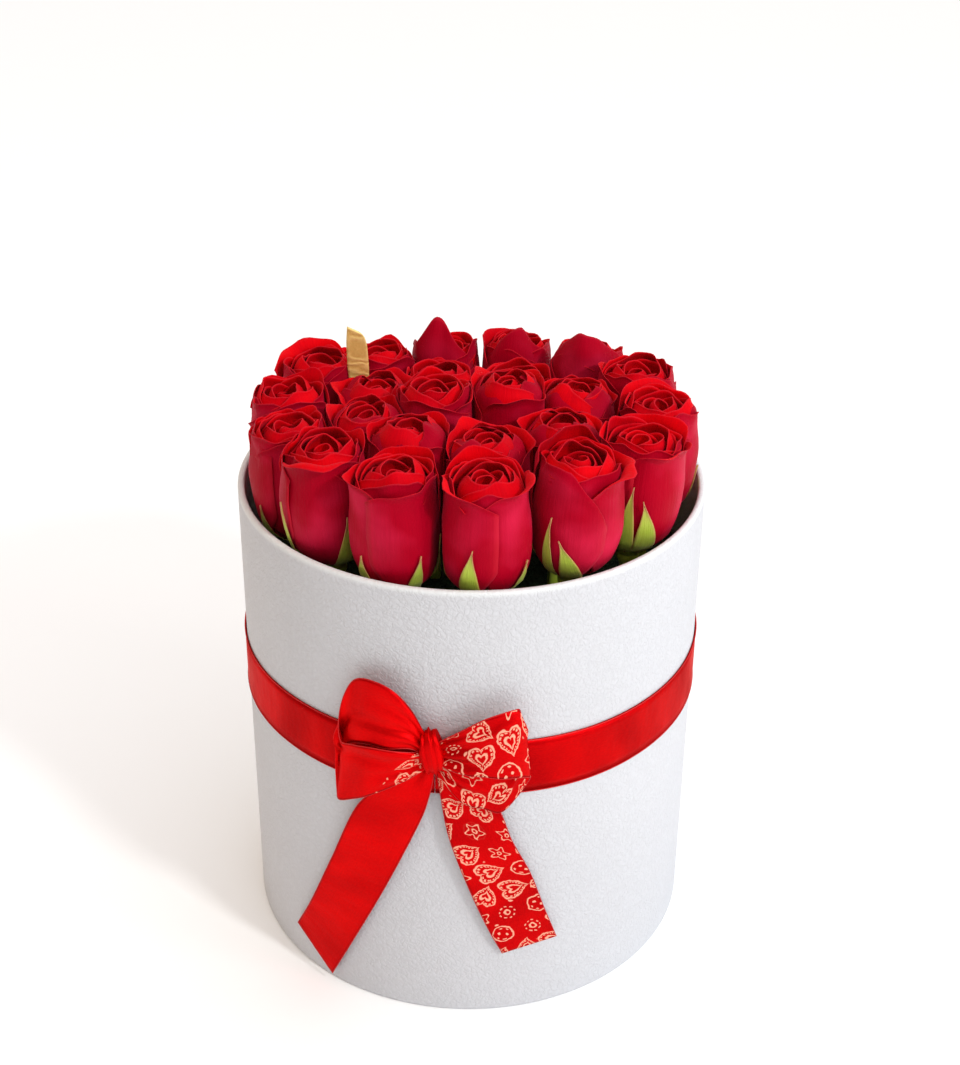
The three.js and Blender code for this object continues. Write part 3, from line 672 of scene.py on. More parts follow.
def loop_folds(along, share):
    """Gathers that fan out from the knot, a crease along the loop, and a soft crown across it."""
    near = np.exp(-(along / LOOP_GATHERED) ** 2) + np.exp(-((1 - along) / LOOP_GATHERED) ** 2)
    gathers = near * (GATHER_DEPTH * np.cos(share * 6 * pi + 1.0) + 0.4 * np.cos(share * 13 + along * 6))
    crease_place = 0.42 + 0.25 * np.sin(along * 7.5)
    crease = CREASE_DEPTH * np.exp(-((share - crease_place) / 0.10) ** 2) * (1 - near)
    crown = CROWN_HEIGHT * np.sin(share * pi) * np.sin(along * pi) ** 2
    return (gathers + crease + crown) * np.where(along > 0.5, 1, -1)


def tail_folds(along, share):
    """Gathers that run out under the knot, and a slow roll down the tail."""
    gathers = GATHER_DEPTH * np.exp(-(along / TAIL_GATHERED) ** 2) * np.cos(share * 4 * pi)
    return -gathers - 0.3 * np.sin(along * 9 + share * 1.5) - 0.35 * np.sin(share * pi) * (1 - along)


for name, stations, finish, folds in (
    ("bow_left_tail", LEFT_TAIL, plain_satin, tail_folds),
    ("bow_right_tail", RIGHT_TAIL, printed_satin, tail_folds),
    ("bow_left_loop", LEFT_LOOP, turned_satin, loop_folds),
    ("bow_right_loop", RIGHT_LOOP, printed_satin, loop_folds),
):
    surface, flat, length = ribbon_length(stations, folds)
    corners, faces, uv = thin_sheet(surface, BOW_THICKNESS, flat)
    piece = make_piece(name, corners, faces, finish, uv=uv)
    edges = woven_edges(name + "_edges", [surface[:, 0], surface[:, -1]])
    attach(piece, "root")

# The knot is a short turn of the same ribbon, pulled tight over the middle, so its pleats run up and down it.
KNOT_PLACE = off_band((-14.6, 4.6, 138.5))
KNOT_HALF_WIDTH = 0.0050
KNOT_HALF_DEPTH = 0.0052
KNOT_HALF_HEIGHT = 0.0094
KNOT_LEAN = radians(-7.0)
KNOT_ROWS, KNOT_COLUMNS = 25, 48
KNOT_SQUARENESS = 2.6

across = np.linspace(-1, 1, KNOT_ROWS)[:, None]
around = np.linspace(0, tau, KNOT_COLUMNS, endpoint=False)[None, :]
swell = (1 - np.abs(across) ** 3.2) ** 0.5
pleats = 0.07 * np.cos(across * 9.0 + 0.9 * np.sin(around)) + 0.04 * np.sin(across * 17.0 + around)
depthways, upwards = np.cos(around), np.sin(around)
squared = (np.abs(depthways) ** KNOT_SQUARENESS + np.abs(upwards) ** KNOT_SQUARENESS) ** (1 / KNOT_SQUARENESS)
girth = (0.34 + (0.66 + pleats) * swell) / squared
sideways = KNOT_HALF_WIDTH * across * (1 - 0.25 * upwards ** 2)
knot_grid = np.stack([
    sideways * cos(KNOT_LEAN) + KNOT_HALF_HEIGHT * girth * upwards * sin(KNOT_LEAN),
    -KNOT_HALF_DEPTH * girth * depthways,
    KNOT_HALF_HEIGHT * girth * upwards * cos(KNOT_LEAN) - sideways * sin(KNOT_LEAN),
], axis=-1) + KNOT_PLACE
ends = [knot_grid[0].mean(axis=0)[None], knot_grid[-1].mean(axis=0)[None]]
knot_corners = np.concatenate([knot_grid.reshape(-1, 3), *ends])
here = np.arange(KNOT_ROWS * KNOT_COLUMNS).reshape(KNOT_ROWS, KNOT_COLUMNS)
beside = np.roll(here, -1, axis=1)
knot_faces = np.stack([here[:-1], beside[:-1], beside[1:], here[1:]], axis=-1).reshape(-1, 4).tolist()
knot_faces += [(here.size, int(b), int(a)) for a, b in zip(here[0], beside[0])]
knot_faces += [(here.size + 1, int(a), int(b)) for a, b in zip(here[-1], beside[-1])]
knot_uv = np.stack([knot_corners[:, 2], (knot_corners[:, 0] - KNOT_PLACE[0]) * 2 + RIBBON_WIDTH / 2], axis=-1)
knot = make_piece("bow_knot", knot_corners, knot_faces, plain_satin, uv=knot_uv)
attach(knot, "root")
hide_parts("bow")


# The roses.
# Each is a tight garden rose: three broad outer petals wrapped round each other into an urn, and softer inner
# petals that close over the middle like a hood. Where roses press against each other or the wall, both give.
ROSE_HEIGHT = 52.0
ROSE_GAP = 0.3
# Each ring of roses: its radius, how far the roses lean out in degrees, and the direction and height of each.
ROSE_RINGS = (
    (76.0, 4.0, ((-163, 240), (-138, 245), (-112, 245), (-86, 246), (-58, 248), (-30, 245), (-5, 244),
                 (24, 241), (49, 238), (75, 234), (99, 233), (123, 233), (149, 240), (174, 241))),
    (43.5, 2.0, ((-82, 244), (-34, 242), (10, 242), (63, 234), (109, 234), (158, 239), (-164, 241),
                 (-124, 246))),
    (15.5, 0.0, ((-172, 247), (14, 247))),
)
LEAF_PLACE = (-47.0, 32.5)
LEAF_WIDTH = 9.0
LEAF_THICKNESS = 0.8
ROOM_FOR_SEPALS = 1.7
LEAST_ROOM = 0.15
WALL_INSIDE = 92.6
WALL_FLARE = 0.12
RIM_FLARE = 0.16
PRESSING = 14.0
FAR_OFF = 1000.0
LEAST_SLOPE = 0.001
MEETING_SHARE = 0.7
SPARE_SHARE = 0.85
SPARE_FROM = 18.5
SPARE_AT_MOST = 7.0
SPARE_OPENING = 0.016
PETAL_SEED = 100

# The free outside of a bloom, as (share of its height, radius in millimetres).
BLOOM_SHAPE = ((0.0, 4.0), (0.06, 9.0), (0.12, 12.6), (0.2, 15.6), (0.3, 17.4), (0.42, 18.4), (0.54, 18.2),
               (0.66, 17.2), (0.76, 16.1), (0.86, 15.4), (0.94, 15.3), (1.05, 15.6))
BODY_ROWS = 15
LIP_ROWS = 9
PETAL_COLUMNS = 21
PETAL_THICKNESS = 0.42

# The layers of petals from the outside in. Size is a share of the free radius, foot and crest are shares of
# the bloom's height, half is half the width as an angle, and off is how far the layer lies off the middle, as
# a share of its radius. The rest is in millimetres, and a curl under zero bends the lip inwards. The second
# layer has some sizes of its own in a rose whose middle is domed.
LAYER_SIZES = ("count", "size", "foot", "crest", "drop", "lip", "curl", "half", "wrap", "wave", "off",
               "flare", "tip", "brim")
PETAL_LAYERS = [dict(zip(LAYER_SIZES, sizes)) for sizes in (
    (3, 1.00, 0.02, 0.885, 4.6, 4.4, 5.0, 1.28, 0.80, 0.8, 0.0, 1.1, 1.5, 0.0),
    (3, 0.94, 0.25, 0.880, 4.0, 5.6, -20.0, 1.30, 0.60, 0.7, 0.01, 0.4, 1.0, 0.7),
    (2, 0.87, 0.35, 0.860, 4.4, 9.0, -12.0, 1.80, 0.70, 0.7, 0.04, 0.0, 0.8, 1.0),
    (2, 0.73, 0.45, 0.875, 3.4, 8.0, -9.0, 1.85, 0.60, 0.5, 0.10, 0.0, 0.4, 0.9),
    (2, 0.50, 0.50, 0.885, 2.2, 6.4, -7.0, 1.90, 0.60, 0.3, 0.15, 0.0, 0.2, 0.7),
    (1, 0.26, 0.50, 0.900, 0.8, 4.0, -4.0, 2.80, 0.45, 0.2, 0.0, 0.0, 0.1, 0.3),
)]
DOMED_LAYER = {"crest": 0.855, "lip": 11.0, "curl": -9.5}

# What the photograph shows of single roses: the direction of the first outer petal in degrees, which of its
# edges lies on top, how far the hood is closed, and the crest, lip, curl and lean of each outer petal. The
# middle is domed where the hood is closed by more than 1.
SEEN_ROSES = {
    1: (178, 1, 0.9, ((0.9, 4, -14, -1.5), (0.9, 3.8, 6, 0), (0.9, 3.6, 6, 0))),
    2: (-92, 1, 0.9, ((0.955, 7.5, 3.1, -0.6), (0.9, 4, 6, 0), (0.91, 4, -14, -1.5))),
    3: (-52, -1, 0.9, ((0.92, 3.8, 7, 0), (0.93, 4.4, 9, 0), (0.91, 3.8, 7, 0.4))),
    4: (-28, 1, 0.9, ((0.935, 5, 4.6, -0.4), (0.93, 5, 8, 0), (0.925, 5, 4.6, -0.4))),
    5: (-128, 1, 1, ((0.94, 4.5, -14, -0.2), (0.88, 6.4, 4.2, 1.2), (0.95, 8.5, -12, 0))),
    6: (-55, 1, 0.3, ((0.88, 5, 4.5, 0), (0.91, 5.4, 7, 0.4), (0.89, 5, 6, 0))),
    7: (-8, 1, 0.6, ((0.88, 4.5, -14, -1.5), (0.91, 5.6, 5, 0), (0.88, 3.8, 6, 0))),
    8: (-60, 1, 0.9, ((0.9, 4.5, -12, -0.6), (0.92, 4, -14, -1.4), (0.88, 4.4, 6, -0.6))),
    9: (-100, 1, 1, ((0.98, 11, -13, -0.6), (0.85, 3.6, -12, -0.8), (0.86, 4, -12, -0.8))),
    10: (-88, 1, 0.9, ((0.95, 7.5, -20, -0.8), (0.86, 4, -12, -0.6), (0.92, 6, 9, -0.4))),
    11: (-107, -1, 0.6, ((0.93, 7.5, -60, -1.2), (0.82, 4.4, -12, -1), (0.82, 4.6, -12, -1))),
    12: (-60, 1, 0.9, ((0.9, 4.6, 6, 0), (0.9, 4, 8, 0), (0.9, 3.8, 6, 0))),
    13: (112, 1, 0.9, ((0.94, 6, 5, 0), (0.88, 4, -14, -1), (0.9, 4.4, 6, 0))),
    14: (170, -1, 0.9, ((0.9, 4.5, -14, -1.5), (0.88, 4.6, 5, 0), (0.92, 4.6, 7, 0))),
    15: (-100, -1, 1.1, ((0.86, 4.4, 5, 0), (0.9, 5, 6, 0), (0.9, 5.4, 5, 0.4))),
    16: (-90, 1, 1.1, ((0.86, 5.5, 5, 0), (0.86, 4.4, 7, 0), (0.89, 4.5, 8, 0))),
    17: (-100, 1, 1.1, ((0.84, 4.5, 6, 0), (0.86, 4.4, 7, 0), (0.86, 4.5, 7, 0))),
    20: (-70, -1, 1.1, ((0.88, 4.5, 6, 0), (0.9, 5.4, 5, 0), (0.9, 6.5, 3.6, 0))),
    21: (-60, 1, 1.1, ((0.88, 4.8, 4.5, 0), (0.9, 5, 7, 0), (0.9, 5.5, 5, 0))),
    22: (-80, -1, 1.1, ((0.86, 4.5, 6, 0), (0.88, 4.4, 8, 0), (0.87, 4.5, 8, 0))),
}
# What it shows of single petals, by rose and petal.
SEEN_PETALS = {
    (2, 0): dict(trim=0.95, tip=0.0),
    (4, 0): dict(trim=0.8),
    (4, 2): dict(trim=0.8),
    (5, 0): dict(drop=21.0, fold=0.0, wrap=1.4),
    (5, 1): dict(drop=6.0, fold=-1.6, fold_side=-0.1),
    (9, 0): dict(wave=0.4, tip=0.5, tip_width=0.6),
    (10, 0): dict(drop=8.0, tip=5.5, tip_side=0.0, tip_width=0.36),
    (11, 0): dict(half=1.25, drop=7.0, fold=-1.5, fold_side=0.15, tip=10.5, tip_side=0.0, tip_width=0.46,
                  tip_blunt=4.0),
}
PETAL_OUTSIDE = (0.37, 0.0, 0.012)
PETAL_INSIDE = (0.68, 0.0, 0.003)
PETAL_DEEP = (0.25, 0.0, 0.009)
PETAL_BLUSH_AND_PAINTED_SHEEN = (0.66, 0.018, 0.07)
PETAL_EDGE_HIGHLIGHT = (0.55, 0.02, 0.035)


class Rose:
    """Where one rose stands, and how far it may spread."""

    def __init__(self, number, radius, lean, direction, lip_height):
        self.number = number
        self.direction = radians(direction)
        out = np.array((cos(self.direction), sin(self.direction), 0.0))
        self.up = np.array((0, 0, cos(radians(lean)))) + out * sin(radians(lean))
        self.foot = out * radius + (0, 0, lip_height) - self.up * ROSE_HEIGHT
        east = np.array((1.0, 0, 0)) - self.up * self.up[0]
        self.east = east / np.linalg.norm(east)
        self.north = np.cross(self.up, self.east)
        self.planes = []

    def place(self, angle, height, radius):
        """World places, in millimetres, for angles round the axis, heights over the foot and radii."""
        alike = np.broadcast_arrays(angle, height, radius)
        angle, height, radius = (np.asarray(values, float)[..., None] for values in alike)
        way = self.east * np.cos(angle) + self.north * np.sin(angle)
        return self.foot + self.up * height + way * radius

    def reach(self, angle, height):
        """How far the rose may spread before it meets a neighbour, the gilded leaf or the wall."""
        centre = self.place(0.0, height, 0.0)
        way = self.east * np.cos(angle)[..., None] + self.north * np.sin(angle)[..., None]
        limit = np.full(np.shape(angle), FAR_OFF)
        for normal, point in self.planes:
            slope = way @ normal
            room = (point - centre) @ normal / np.maximum(slope, LEAST_SLOPE)
            limit = np.where(slope > LEAST_SLOPE, np.minimum(limit, room), limit)
        over_rim = centre[..., 2] - BOX_HEIGHT * 1000
        inside = WALL_INSIDE + np.where(over_rim > 0, RIM_FLARE, WALL_FLARE) * over_rim
        flat = way[..., 0] ** 2 + way[..., 1] ** 2
        along = centre[..., 0] * way[..., 0] + centre[..., 1] * way[..., 1]
        left = centre[..., 0] ** 2 + centre[..., 1] ** 2 - inside ** 2
        return np.minimum(limit, (np.sqrt(along ** 2 - flat * left) - along) / flat)

    def pressed(self, angle, height, radius):
        """A free radius, pressed in softly where there is less room than it needs."""
        share = np.clip((height / ROSE_HEIGHT - 0.5) / 0.2, 0, 1)
        room = ROOM_FOR_SEPALS * (1 - share * share * (3 - 2 * share)) + LEAST_ROOM
        limit = np.maximum(self.reach(angle, height) - room, 1.0)
        return (np.maximum(radius, 0.05) ** -PRESSING + limit ** -PRESSING) ** (-1 / PRESSING)


roses = []
for radius, lean, places in ROSE_RINGS:
    for direction, lip_height in places:
        roses.append(Rose(len(roses) + 1, radius, lean, direction, lip_height))
for i, one in enumerate(roses):
    for other in roses[i + 1:]:
        a, b = (rose.foot + rose.up * ROSE_HEIGHT * MEETING_SHARE for rose in (one, other))
        along = (one.up + other.up) / np.linalg.norm(one.up + other.up)
        normal = b - a - along * ((b - a) @ along)
        normal /= np.linalg.norm(normal)
        one.planes.append((normal, (a + b) / 2 - normal * ROSE_GAP / 2))
        other.planes.append((-normal, (a + b) / 2 + normal * ROSE_GAP / 2))
for rose in roses:
    for share in (-0.5, 0.0, 0.5):
        post = np.array((LEAF_PLACE[0] + share * LEAF_WIDTH, LEAF_PLACE[1], 0.0))
        normal = (post - rose.foot) * (1, 1, 0)
        normal /= np.linalg.norm(normal)
        rose.planes.append((normal, post - normal * (LEAF_THICKNESS / 2 + 2 * ROSE_GAP)))


def free_radius(height):
    """The outside radius of a bloom at a height over its foot, where nothing presses on it."""
    shares, radii = zip(*BLOOM_SHAPE)
    return np.interp(height / ROSE_HEIGHT, shares, radii)


def petal_surface(petal):
    """Grids of angle, height and free radius for one petal, from its hidden foot to the end of its lip."""
    side = np.linspace(-1, 1, PETAL_COLUMNS)[None, :]
    rise = np.linspace(0, 1, BODY_ROWS)[:, None]
    roll = np.linspace(0, 1, LIP_ROWS + 1)[1:, None]
    phase = petal["phase"]
    waves = petal["wave"] * (np.sin(side * 4.3 + phase) + 0.6 * np.sin(side * 9.7 + 2 * phase))
    crest = petal["crest"] * ROSE_HEIGHT - petal["drop"] * np.abs(side) ** 2.3 + waves
    height = petal["foot"] * ROSE_HEIGHT * (1 - rise) + crest * rise
    upper = np.clip((height / ROSE_HEIGHT - 0.45) / 0.5, 0, 1) ** 2
    fold = petal["fold"] * np.exp(-((side - petal["fold_side"]) / 0.22) ** 2) * upper ** 0.5
    body = free_radius(height) * petal["size"] + petal["lean"] * upper + fold
    body = body + petal["wrap"] * side * (0.3 + 0.7 * rise) + petal["flare"] * np.abs(side) ** 5 * upper
    # The lip leaves the body upwards and bends outwards, or inwards where the curl is under zero.
    off_tip = np.abs((side - petal["tip_side"]) / petal["tip_width"])
    tip = petal["tip"] * np.exp(-off_tip ** petal["tip_blunt"])
    length = petal["lip"] * (1 - petal["trim"] * np.abs(side) ** 2.2) + tip
    curl = petal["curl"]
    swing = roll * length / abs(curl)
    slope = np.arctan2(body[-1:] - body[-2:-1], height[-1:] - height[-2:-1])
    outwards = curl * (1 - np.cos(swing))
    upwards = abs(curl) * np.sin(swing)
    ripple = petal["wave"] * roll * np.sin(side * 7.3 + 3 * phase)
    brim = petal["brim"] * (np.clip(roll - 0.7, 0, 1) / 0.3) ** 2
    lip_radius = body[-1:] + outwards * np.cos(slope) + upwards * np.sin(slope) + ripple + brim
    lip_height = height[-1:] + upwards * np.cos(slope) - outwards * np.sin(slope)
    height = np.concatenate([height, lip_height])
    radius = np.concatenate([body, np.maximum(lip_radius, 0.3)])
    spread = np.clip(0.45 + 0.55 * (height / ROSE_HEIGHT) / 0.35, 0.45, 1.0)
    angle = petal["angle"] + petal["half"] * side * spread
    return angle, height, radius * (1 + petal["off"] * np.cos(angle - petal["off_way"]))


def bloom_petals(rose, chance):
    """The petals of one bloom, from the outside in."""
    seen = SEEN_ROSES.get(rose.number)
    first, on_top, closed, outer = seen or (
        chance.uniform(0, 360), chance.choice((-1, 1)), chance.uniform(0.5, 1.1), ())
    turn = radians(first)
    off_way = chance.uniform(0, tau)
    petals = []
    for layer, shape in enumerate(PETAL_LAYERS):
        for k in range(shape["count"]):
            free = chance.uniform(0.8, 1.25)
            shift = 0.0 if seen and layer == 0 else chance.uniform(-0.1, 0.1)
            petal = dict(
                shape, angle=turn + tau * (k + shift) / shape["count"], wrap=shape["wrap"] * on_top,
                crest=shape["crest"] + chance.uniform(-0.012, 0.016), drop=shape["drop"] * free,
                lip=shape["lip"] * free, lean=0.0, trim=0.5, phase=chance.uniform(0, tau),
                fold=chance.uniform(-1.7, 0.7) if layer < 2 else 0.0, fold_side=chance.uniform(-0.6, 0.6),
                flare=shape["flare"] * free, tip=shape["tip"] * free, tip_side=chance.uniform(-0.5, 0.5),
                tip_width=0.16, tip_blunt=2.6, tone=chance.uniform(0, 1), off_way=off_way,
                depth=layer / (len(PETAL_LAYERS) - 1),
            )
            if layer == 0 and k < len(outer):
                petal["crest"], petal["lip"], petal["curl"], petal["lean"] = outer[k]
            if layer == 1 and closed > 1.0:
                petal.update(DOMED_LAYER, lip=DOMED_LAYER["lip"] * free)
            if layer >= 2:
                petal["lip"] *= 0.55 + 0.5 * closed
                petal["crest"] -= 0.05 * max(0.0, 0.6 - closed)
            petal.update(SEEN_PETALS.get((rose.number, len(petals)), {}))
            petals.append(petal)
        turn += tau / shape["count"] / 2 + chance.uniform(0.0, 0.5)
    return petals


def join_sheets(sheets):
    """Corners in metres, faces and UV of thin sheets in millimetres, as those of one mesh."""
    corners, sheet_faces, uv = zip(*sheets)
    faces, start = [], 0
    for sheet, more in zip(corners, sheet_faces):
        faces += [tuple(start + i for i in face) for face in more]
        start += len(sheet)
    return np.concatenate(corners) * 0.001, faces, np.concatenate(uv)


def bloom_mesh(rose, petals):
    """Corners, faces, UV and tones of a bloom: inside and painted hood light, tone, painted edge highlight, depth.
    """
    sheets, tones = [], []
    for petal in petals:
        angle, height, radius = petal_surface(petal)
        spare = rose.reach(angle, np.full_like(angle, SPARE_SHARE * ROSE_HEIGHT)) - SPARE_FROM
        upper = np.clip((height / ROSE_HEIGHT - 0.5) / 0.5, 0, 1)
        opening = np.clip(spare, 0, SPARE_AT_MOST) * SPARE_OPENING
        radius = radius * (1 + opening * upper * (1 - petal["depth"]))
        surface = rose.place(angle, height, rose.pressed(angle, height, radius))
        rows, columns = radius.shape
        side = np.broadcast_to(np.linspace(-1, 1, columns)[None, :], radius.shape)
        rise = np.broadcast_to(np.linspace(0, 1, rows)[:, None], radius.shape)
        thinned = (1 - 0.5 * rise ** 8) * (1 - 0.4 * np.abs(side) ** 8)
        thickness = PETAL_THICKNESS * (1 + petal["depth"]) * thinned
        sheets.append(thin_sheet(surface, thickness, np.stack([side, rise], axis=-1)))
        # A mask along the petal edges, for a painted edge highlight.
        edge_highlight = np.maximum(np.abs(side) ** 14, np.clip((rise - 0.955) / 0.045, 0, 1)).ravel()
        # The first half of the corners lie on one face of the petal and the second half on the other.
        corners, count = sheets[-1][0], radius.size
        middle = (rows // 2) * columns + columns // 2
        outwards = (surface - rose.place(0.0, height, 0.0)).reshape(-1, 3)[middle]
        first_is_outside = (corners[middle] - corners[count + middle]) @ outwards > 0
        hooded = petal["depth"] > 0.3
        # The outer faces of the hooded inner petals turn to the inside's scarlet towards their tops: painted light,
        # as if lit from above.
        painted_lit_scarlet = np.clip((rise.ravel() - 0.45) / 0.3, 0, 1) * 0.9 if hooded else np.zeros(count)
        for is_outside in (first_is_outside, not first_is_outside):
            tones.append(np.stack([painted_lit_scarlet if is_outside else np.ones(count), np.full(count, petal["tone"]),
                                   edge_highlight, np.full(count, petal["depth"])], axis=-1))
    return *join_sheets(sheets), np.concatenate(tones)


velvety = Finish("rose_petal", specular_ior_level=0.07, specular_tint=(1.0, 0.3, 0.35), sheen_weight=0.12,
                 sheen_roughness=0.4, sheen_tint=(1.0, 0.12, 0.24))
tones = velvety.add("ShaderNodeAttribute", {"attribute_name": "tones"}, output="Color")
inside, tone, edge_highlight = [
    velvety.add("ShaderNodeSeparateColor", None, {0: tones}, output=channel) for channel in range(3)]
flat = velvety.surface_place()
_, rise, _ = velvety.split(flat)
place = velvety.object_place()
veins = velvety.streaks(flat, 22.0, 1.6, 4.0, 0.6)
velvet = velvety.noise(place, 2600.0, 2.0)
clouds = velvety.noise(place, 80.0, 3.0)
# Pink patches on the lower outer faces: blush, with painted sheen highlights on the bellies.
blush_and_painted_sheen = ((velvety.noise(place, 45.0, 2.0) - 0.42) * 2.2).larger(0.0) * (1.0 - inside)
# The inside share also carries the painted light on the tops of the hoods.
colour = velvety.blend(inside, PETAL_OUTSIDE, PETAL_INSIDE)
colour = velvety.blend(blush_and_painted_sheen.smaller(0.6) * rise.below(0.75, 0.15), colour, PETAL_BLUSH_AND_PAINTED_SHEEN)
shade = clouds * 0.7 + veins * 0.4 + tone * 0.3 - 0.5
colour = velvety.blend(shade.larger(0.0), colour, PETAL_DEEP)
# Painted edge highlight: the petal edges blend towards a paler red.
colour = velvety.blend(edge_highlight * 0.4, colour, PETAL_EDGE_HIGHLIGHT)
velvety.set(
    base_color=colour,
    roughness=0.48 + 0.2 * velvet,
    normal=velvety.bump(veins + velvet * 0.2 + clouds * 0.8, 0.0004, 0.6),
)

for rose in roses:
    chance = np.random.default_rng(PETAL_SEED + rose.number)
    corners, faces, uv, tones = bloom_mesh(rose, bloom_petals(rose, chance))
    piece = make_piece("rose_%02d_petals" % rose.number, corners, faces, velvety, uv=uv, tones=tones)
    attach(piece, "root")
    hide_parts("rose_%02d_bloom" % rose.number)


# The stems and sepals.
# Under each bloom a green stem swells into a calyx, from which five pointed sepals rise along the petals.
# Their edges are thin and reddish, and their tips stand a little away from the bloom.
SEPALS = 5
STEM_RADIUS = 0.0026
CALYX_SWELL = 0.0024
CALYX_MIDDLE = 0.0035
CALYX_LENGTH = 0.0032
STEM_SIDES = 14
STEM_STEP = 0.0015
FOAM_TOP = 158.0
STEM_IN_FOAM = 47.5
CALYX_RADIUS = 4.4
SEPAL_ROWS, SEPAL_COLUMNS = 20, 9
SEPAL_FOOT = -0.04
SEPAL_POINT = 0.08
SEPAL_CLEARANCE = 0.45
SEPAL_THICKNESS = 0.5
SEPAL_SEED = 500
SEPAL_RANGES = ((0.42, 0.5), (2.6, 3.6), (0.1, 0.8), (-2, 2))
SEPAL_GREEN = (0.30, 0.46, 0.014)
SEPAL_PALE = (0.52, 0.62, 0.08)
SEPAL_TAN = (0.50, 0.22, 0.09)

leafy = Finish("sepal_green", specular_ior_level=0.35, sheen_weight=0.1)
flat = leafy.surface_place()
across, along, _ = leafy.split(flat)
place = leafy.object_place()
mottle = leafy.noise(place, 240.0, 4.0)
ribs = leafy.streaks(flat, 9.0, 0.8, 3.0)
rim = (abs(across) ** 5 * 0.8 + along ** 5 * 0.9 + mottle * 0.4 - 0.35).larger(0.0).smaller(1.0)
leafy.set(
    base_color=leafy.blend(rim, leafy.blend(ribs * 0.5 + mottle * 0.6, SEPAL_GREEN, SEPAL_PALE), SEPAL_TAN),
    roughness=0.42 + 0.2 * mottle,
    normal=leafy.bump(ribs * 1.5 + mottle * 0.4, 0.0003, 0.7),
)

stalk = Former("stem_under_a_bloom", Bottom=(0.0, 0.0, 0.0), Top=(0.0, 0.0, 0.0), Radius=STEM_RADIUS,
               Swell=CALYX_SWELL, Step=STEM_STEP, Sides=STEM_SIDES)
line = stalk.add("GeometryNodeCurvePrimitiveLine", {"mode": "POINTS"},
                 {"Start": stalk["Bottom"], "End": stalk["Top"]})
line = stalk.add("GeometryNodeResampleCurve", {"mode": "LENGTH"}, {"Curve": line, "Length": stalk["Step"]})
whole = stalk.add("GeometryNodeSplineLength")
below_bloom = whole - stalk.add("GeometryNodeSplineParameter", output="Length")
swollen = exp(-1) ** ((below_bloom - CALYX_MIDDLE) / CALYX_LENGTH) ** 2
stem = stalk.sweep(line, stalk.circle(stalk["Sides"], 1.0),
                   thickness=stalk["Radius"] + stalk["Swell"] * swollen)
both = stalk.add("GeometryNodeJoinGeometry")
for part in (stem, stalk["Geometry"]):
    stalk.tree.links.new(part.socket, both.socket.node.inputs[0])
stalk.close(both, leafy)


def sepal_mesh(rose, angle, reach_up, width, stand_off, twist):
    """A pointed blade that follows the outside of the bloom and bends away at its tip."""
    share = np.linspace(0, 1, SEPAL_ROWS)[:, None]
    side = np.linspace(-1, 1, SEPAL_COLUMNS)[None, :]
    rise = (SEPAL_FOOT + (reach_up - SEPAL_FOOT) * share) * ROSE_HEIGHT
    height = np.broadcast_to(rise, (SEPAL_ROWS, SEPAL_COLUMNS))
    outline = np.sin(pi * np.clip(0.22 + 0.78 * share, 0, 1)) ** 0.8 * (1 - share ** 4)
    free = free_radius(height)
    offset = (width * outline + SEPAL_POINT) * side + twist * share ** 2
    sweep = angle + np.arctan2(offset, np.maximum(free, CALYX_RADIUS + 0.2))
    radius = rose.pressed(sweep, height, free + 0.25) + SEPAL_CLEARANCE
    radius = np.maximum(radius, CALYX_RADIUS) + stand_off * share ** 3 + 0.5 * side ** 2 * share
    surface = rose.place(sweep, height, radius)
    flat = np.stack(np.broadcast_arrays(side, share), axis=-1)
    return thin_sheet(surface, SEPAL_THICKNESS * (1 - 0.6 * np.abs(side)), flat)


# The sepals that the photograph shows: angle, reach up, half width, stand-off and twist of each.
SEEN_SEPALS = {
    1: ((-60, 0.70, 1.5, 2.6, 3.0),),
    2: ((-150, 0.66, 1.5, 2.6, 2.0), (-62, 0.55, 4.6, 0.8, 0.0)),
    4: ((-112, 0.58, 4.0, 1.0, 2.5),),
    5: ((-128, 0.66, 2.4, 1.4, 2.0), (-92, 0.50, 4.2, 1.6, -6.0)),
    6: ((-105, 0.72, 3.4, 1.8, 1.5), (-75, 0.62, 4.4, 2.2, -4.0), (-135, 0.55, 2.6, 0.8, 1.0)),
    7: ((-70, 0.66, 3.0, 0.8, 1.0),),
}

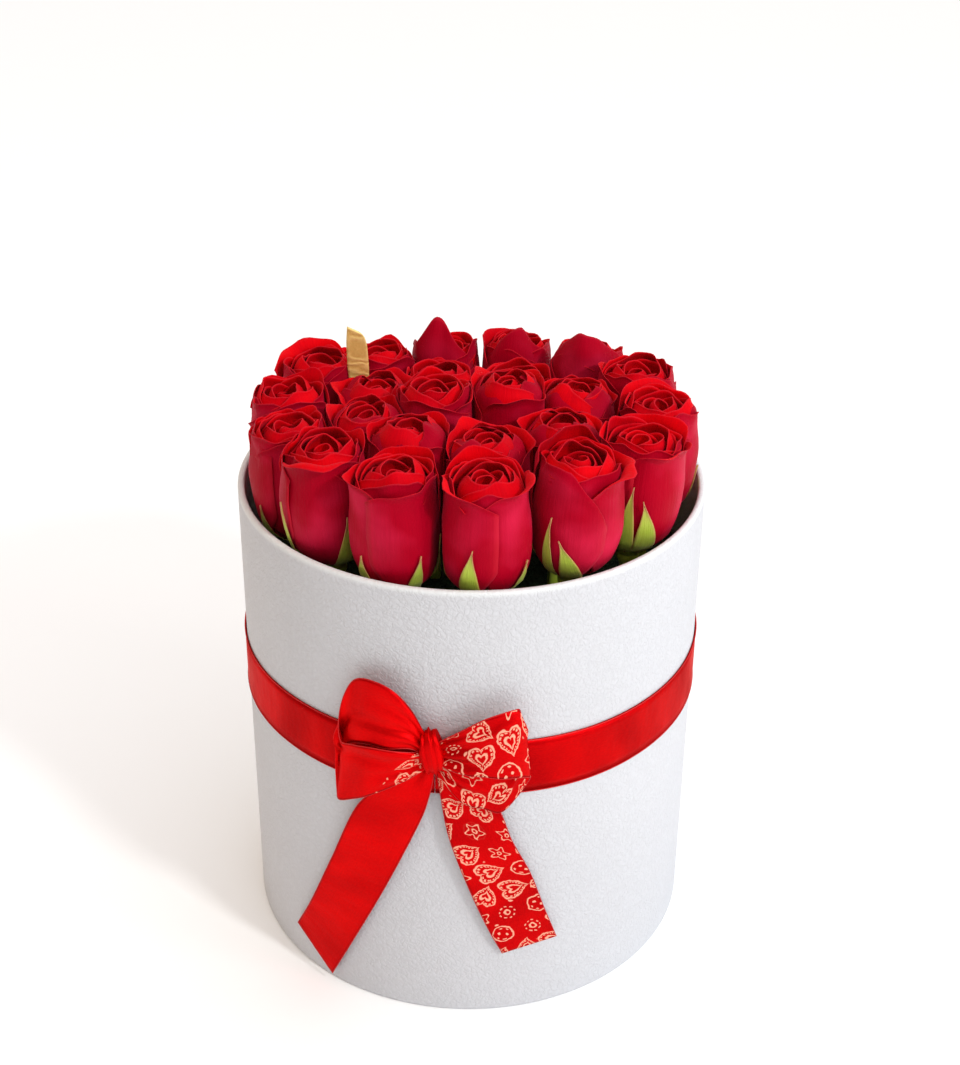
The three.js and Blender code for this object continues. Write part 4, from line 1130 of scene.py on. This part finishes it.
for rose in roses:
    chance = np.random.default_rng(SEPAL_SEED + rose.number)
    seen = SEEN_SEPALS.get(rose.number, ())
    turn = radians(seen[0][0]) if seen else chance.uniform(0, tau)
    sheets = []
    for k in range(SEPALS):
        if k < len(seen):
            degrees, *shape = seen[k]
            angle = radians(degrees)
        else:
            shape = [chance.uniform(least, most) for least, most in SEPAL_RANGES]
            angle = turn + tau * k / SEPALS
        sheets.append(sepal_mesh(rose, angle, *shape))
    corners, faces, uv = join_sheets(sheets)
    sepals = make_piece("sepals", corners, faces, leafy, uv=uv)
    bottom = rose.foot - rose.up * ((rose.foot[2] - FOAM_TOP) / rose.up[2] + STEM_IN_FOAM)
    piece = stalk.form("rose_%02d_green" % rose.number, sepals.data,
                       Bottom=tuple(bottom * 0.001), Top=tuple(rose.foot * 0.001))
    bpy.data.objects.remove(sepals)
    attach(piece, "root")
    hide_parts("rose_%02d_stem" % rose.number)


# The gilded leaf.
# A slim blade of gilded card, pressed with faint curling lines, stands upright between the roses at the back
# left, and its foot is held by them.
LEAF_BOTTOM = 212.0
LEAF_TOP = 257.0
CARD_THICKNESS = 0.0006
LEAF_ROWS, LEAF_COLUMNS = 41, 11
GOLD = (0.66, 0.42, 0.10)
GOLD_PALE = (0.95, 0.72, 0.27)

gilding = Finish("gilding", metallic=0.3)
place = gilding.object_place()
swirls = gilding.add("ShaderNodeTexWave", {"wave_type": "RINGS"}, {
    "Vector": place, "Scale": 70.0, "Distortion": 14.0, "Detail": 2.0, "Detail Scale": 1.5}, output=1)
flecks = gilding.noise(place, 900.0, 3.0)
gilding.set(
    base_color=gilding.blend(swirls * 0.5 + flecks * 0.5, GOLD, GOLD_PALE),
    roughness=0.32 + 0.25 * flecks,
    normal=gilding.bump(swirls * 0.5 + flecks * 0.3, 0.0003),
)
share = np.linspace(0, 1, LEAF_ROWS)[:, None]
side = np.linspace(-1, 1, LEAF_COLUMNS)[None, :]
half = LEAF_WIDTH / 2 * np.interp(share, (0, 0.3, 0.6, 0.85, 1), (0.5, 0.85, 1, 0.96, 0.8))
lowered = (1.4 + 1.6 * side + 1.6 * np.maximum(side, 0) ** 3) * share ** 6
surface = np.stack(np.broadcast_arrays(
    LEAF_PLACE[0] - 1.5 * share + half * side,
    LEAF_PLACE[1] - 0.15 * np.sin(pi * share) + 0.1 * side ** 2,
    LEAF_BOTTOM + (LEAF_TOP - LEAF_BOTTOM) * share - lowered,
), axis=-1)
flat = np.stack(np.broadcast_arrays(side, share), axis=-1)
corners, faces, uv = thin_sheet(surface * 0.001, CARD_THICKNESS, flat)
leaf = make_piece("gold_leaf_card", corners, faces, gilding, uv=uv)
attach(leaf, "root")
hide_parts("gold_leaf")

size = {"cad_box": [list(corner) for corner in cad_box], "visual_box": [list(corner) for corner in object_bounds()]}
